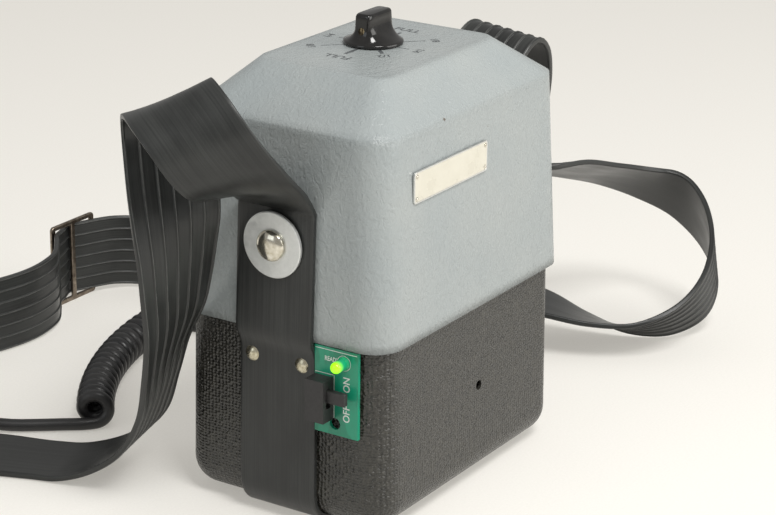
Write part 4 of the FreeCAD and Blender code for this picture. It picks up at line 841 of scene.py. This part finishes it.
screw_hole = lathe("screw_hole", [(0.0, 0.00155), (0.0101, 0.00155), (0.0121, 0.0028)],
                   (knob_at.x - 0.0001, knob_at.y, knob_base + 0.0064), (-1, 0, 0), 32)
drill = bar_knob.modifiers.new("hole", "BOOLEAN")
drill.object = screw_hole
drill.solver = "EXACT"
bpy.context.view_layer.update()
drilled = bpy.data.meshes.new_from_object(bar_knob.evaluated_get(bpy.context.evaluated_depsgraph_get()))
bar_knob.modifiers.clear()
bar_knob.data = drilled
drilled.set_sharp_from_angle(angle=math.radians(50))
bpy.data.objects.remove(screw_hole)
knob_gloss, nodes, links, shader, where = finish("knob_gloss", (0.008, 0.008, 0.008), 0.12)
shader.inputs["Specular IOR Level"].default_value = 0.55
handled = mottle(nodes, links, where, 180.0, 5.0)
between(nodes, links, handled, (0.35, 0.08), (0.8, 0.24), shader.inputs["Roughness"])
between(nodes, links, handled, (0.3, (0.007, 0.007, 0.007)), (0.8, (0.014, 0.013, 0.012)),
        shader.inputs["Base Color"])
relief(nodes, links, shader, mottle(nodes, links, where, 260.0, 2.0), 0.00002)
drilled.materials.append(knob_gloss)
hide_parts("selector_knob")
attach(bar_knob, "selector")
screw_brass, nodes, links, shader, where = finish("screw_brass", (0.42, 0.33, 0.20), 0.3, 1.0)
between(nodes, links, mottle(nodes, links, where, 1500.0), (0.3, (0.28, 0.21, 0.13)),
        (0.75, (0.52, 0.42, 0.26)), shader.inputs["Base Color"])
relief(nodes, links, shader, mottle(nodes, links, where, 2500.0), 0.00002)
repaint(frame["nodes"]["knob_set_screw"], screw_brass)

# Dial on the roof: black marks printed on the paint round the knob, eight at 45 degrees.
# Four power steps from full down to an eighth, printed twice, once for each end of the bar.
dial_ink, nodes, links, shader, where = finish("dial_ink", (0.045, 0.047, 0.050), 0.45)
worn_ink = mottle(nodes, links, where, 1300.0, 4.0)
between(nodes, links, worn_ink, (0.35, (0.040, 0.042, 0.045)), (0.80, (0.21, 0.23, 0.24)),
        shader.inputs["Base Color"])
relief(nodes, links, shader, mottle(nodes, links, where, 420.0, 3.0, 1.6), 0.0002)
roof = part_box("top_cover")[1].z + 0.00004
dial = bmesh.new()
marks = [(180, 1.7, 12.6, 22.0), (225, 1.7, 12.6, 18.0), (270, 0.6, 12.6, 18.0), (315, 0.55, 12.6, 23.0),
         (0, 1.3, 12.6, 22.0), (45, 1.3, 12.6, 18.0), (90, 0.55, 12.6, 18.0), (135, 0.55, 12.6, 23.0)]
for angle, thick, inner, outer in marks:
    way = Vector((math.cos(math.radians(angle)), math.sin(math.radians(angle)), 0))
    over = Vector((-way.y, way.x, 0)) * thick * 0.0005
    centre = Vector((knob_at.x, knob_at.y, roof))
    a, b = centre + way * inner * 0.001, centre + way * outer * 0.001
    dial.faces.new([dial.verts.new(p) for p in (a - over, b - over, b + over, a + over)])
bmesh.ops.recalc_face_normals(dial, faces=dial.faces)
for made in dial.faces:
    if made.normal.z < 0:
        made.normal_flip()
dial_mesh = bpy.data.meshes.new("dial_marks")
dial.to_mesh(dial_mesh)
dial.free()
dial_marks = placed("dial_marks", dial_mesh, smooth=False)
dial_mesh.materials.append(dial_ink)
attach(dial_marks, "pack")
steps_of_power = [("FULL", 27.4, 6.0), ("1/2", 22.0, 4.8), ("1/4", 22.8, 4.8), ("1/8", 27.0, 4.8)]
printed_twice = [(first + 45 * k, *step) for first in (180, 0) for k, step in enumerate(steps_of_power)]
for angle, words, reach, size in printed_twice:
    way = Vector((math.cos(math.radians(angle)), math.sin(math.radians(angle)), 0))
    spot = Vector((knob_at.x, knob_at.y, roof)) + way * reach * 0.001
    step_text = printed(f"dial_step_{angle}", words, size * 0.001, spot, (way.y, -way.x, 0), way,
                        dial_ink, 0.0001)
    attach(step_text, "pack")

# Works inside the case: aluminium deck, tray and brackets, steel fasteners, taped coil,
# sleeved cans and cells, and brown laminate boards. They are hidden when the cover is on.
inside = [
    ("deck_metal", (0.62, 0.63, 0.64), 0.34, 1.0, 160.0,
     ["chassis_deck", "chassis_posts", "stud_brackets", "battery_tray"]),
    ("fastener_steel", (0.52, 0.51, 0.49), 0.30, 1.0, 600.0,
     ["deck_screws", "post_screws", "bracket_screws", "stud_nuts", "capacitor_clamps", "battery_bolts",
      "selector_nut", "selector_shaft", "drive_stands"]),
    ("seal_rubber", (0.022, 0.022, 0.022), 0.62, 0.0, 900.0, ["rim_seal", "board_pad"]),
    ("can_sleeve", (0.05, 0.10, 0.24), 0.30, 0.0, 90.0, ["flash_capacitors"]),
    ("terminal_brass", (0.55, 0.40, 0.16), 0.30, 1.0, 700.0, ["capacitor_terminals"]),
    ("core_varnish", (0.05, 0.045, 0.04), 0.38, 0.4, 500.0, ["transformer_core"]),
    ("coil_tape", (0.52, 0.36, 0.10), 0.45, 0.0, 260.0, ["transformer_coil"]),
    ("brown_laminate", (0.22, 0.11, 0.045), 0.42, 0.0, 380.0, ["drive_board", "battery_contact_plate"]),
    ("moulded_black", (0.03, 0.03, 0.03), 0.48, 0.0, 700.0, ["drive_components", "selector_switch"]),
    ("cell_sleeve", (0.36, 0.06, 0.05), 0.36, 0.0, 120.0, ["battery_cells"]),
]
for name, colour, roughness, metallic, scale, members in inside:
    mat, nodes, links, shader, where = finish(name, colour, roughness, metallic)
    cloud = mottle(nodes, links, where, scale, 4.0)
    darker = tuple(v * 0.72 for v in colour)
    between(nodes, links, cloud, (0.3, darker), (0.7, colour), shader.inputs["Base Color"])
    between(nodes, links, cloud, (0.3, roughness * 0.8), (0.75, roughness * 1.3), shader.inputs["Roughness"])
    relief(nodes, links, shader, mottle(nodes, links, where, scale * 6), 0.00002)
    for member in members:
        repaint(frame["nodes"][member], mat)

# Pale paper sweep under and behind the pack, with soft light from large diffusers. The paper
# glows a little where it is seen directly, in gloss or through glass, and keeps the shadow.


def either(nodes, links, first, second):
    """The larger of two light path answers, so 1 where either holds."""
    larger = nodes.new("ShaderNodeMath")
    larger.operation = "MAXIMUM"
    links.new(first, larger.inputs[0])
    links.new(second, larger.inputs[1])
    return larger.outputs[0]


sweep = bpy.data.meshes.new("paper_sweep")
paper = bmesh.new()
corners_of_paper = [(-6, -6, 0), (6, -6, 0), (6, 6, 0), (-6, 6, 0)]
paper.faces.new([paper.verts.new(c) for c in corners_of_paper])
paper.to_mesh(sweep)
paper.free()
floor = bpy.data.objects.new("paper_sweep", sweep)
stage.link(floor)
paper_white, nodes, links, shader, where = finish("paper_white", (0.60, 0.59, 0.565), 0.9)
shader.inputs["Specular IOR Level"].default_value = 0.1
fibre = mottle(nodes, links, where, 900.0, 3.0)
between(nodes, links, fibre, (0.3, (0.58, 0.57, 0.545)), (0.7, (0.62, 0.61, 0.585)),
        shader.inputs["Base Color"])
shader.inputs["Emission Color"].default_value = (0.96, 0.92, 0.84, 1.0)
seen_by = nodes.new("ShaderNodeLightPath")
camera_or_gloss = either(nodes, links, seen_by.outputs["Is Camera Ray"], seen_by.outputs["Is Glossy Ray"])
any_direct = either(nodes, links, camera_or_gloss, seen_by.outputs["Is Transmission Ray"])
share = nodes.new("ShaderNodeMath")
share.operation = "MULTIPLY"
share.inputs[1].default_value = 0.36
links.new(any_direct, share.inputs[0])
links.new(share.outputs[0], shader.inputs["Emission Strength"])
sweep.materials.append(paper_white)
floor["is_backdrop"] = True

bpy.context.scene.view_settings.view_transform = "Standard"
world = bpy.data.worlds.new("studio")
bpy.context.scene.world = world
world.use_nodes = True
nodes, links = world.node_tree.nodes, world.node_tree.links
soft = nodes["Background"]
soft.inputs["Color"].default_value = (1.0, 0.985, 0.96, 1.0)
soft.inputs["Strength"].default_value = 0.42
seen = nodes.new("ShaderNodeBackground")
seen.inputs["Color"].default_value = (0.855, 0.838, 0.790, 1.0)
seen.inputs["Strength"].default_value = 1.0
rays = nodes.new("ShaderNodeLightPath")
direct = either(nodes, links, rays.outputs["Is Camera Ray"], rays.outputs["Is Transmission Ray"])
choose = nodes.new("ShaderNodeMixShader")
links.new(direct, choose.inputs["Fac"])
links.new(soft.outputs["Background"], choose.inputs[1])
links.new(seen.outputs["Background"], choose.inputs[2])
links.new(choose.outputs["Shader"], nodes["World Output"].inputs["Surface"])


def diffuser(name, spot, aim, size, power, colour):
    """A large soft square lamp aimed at a point."""
    lamp = bpy.data.lights.new(name, "AREA")
    lamp.shape = "RECTANGLE"
    lamp.size, lamp.size_y = size
    lamp.energy = power
    lamp.color = colour
    holder = bpy.data.objects.new(name, lamp)
    stage.link(holder)
    way = Vector(aim) - Vector(spot)
    holder.matrix_world = Matrix.Translation(spot) @ way.to_track_quat("-Z", "Y").to_matrix().to_4x4()


diffuser("overhead", (-0.38, -0.70, 1.30), (0, 0, 0.05), (0.5, 0.5), 15.0, (1.0, 0.99, 0.97))
diffuser("front_right", (0.55, -1.5, 0.7), (0, 0, 0.1), (1.3, 1.0), 12.6, (1.0, 0.985, 0.95))
diffuser("left", (-1.6, 0.5, 0.75), (0, 0, 0.1), (0.8, 0.8), 2.2, (0.90, 0.97, 1.0))

low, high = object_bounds()
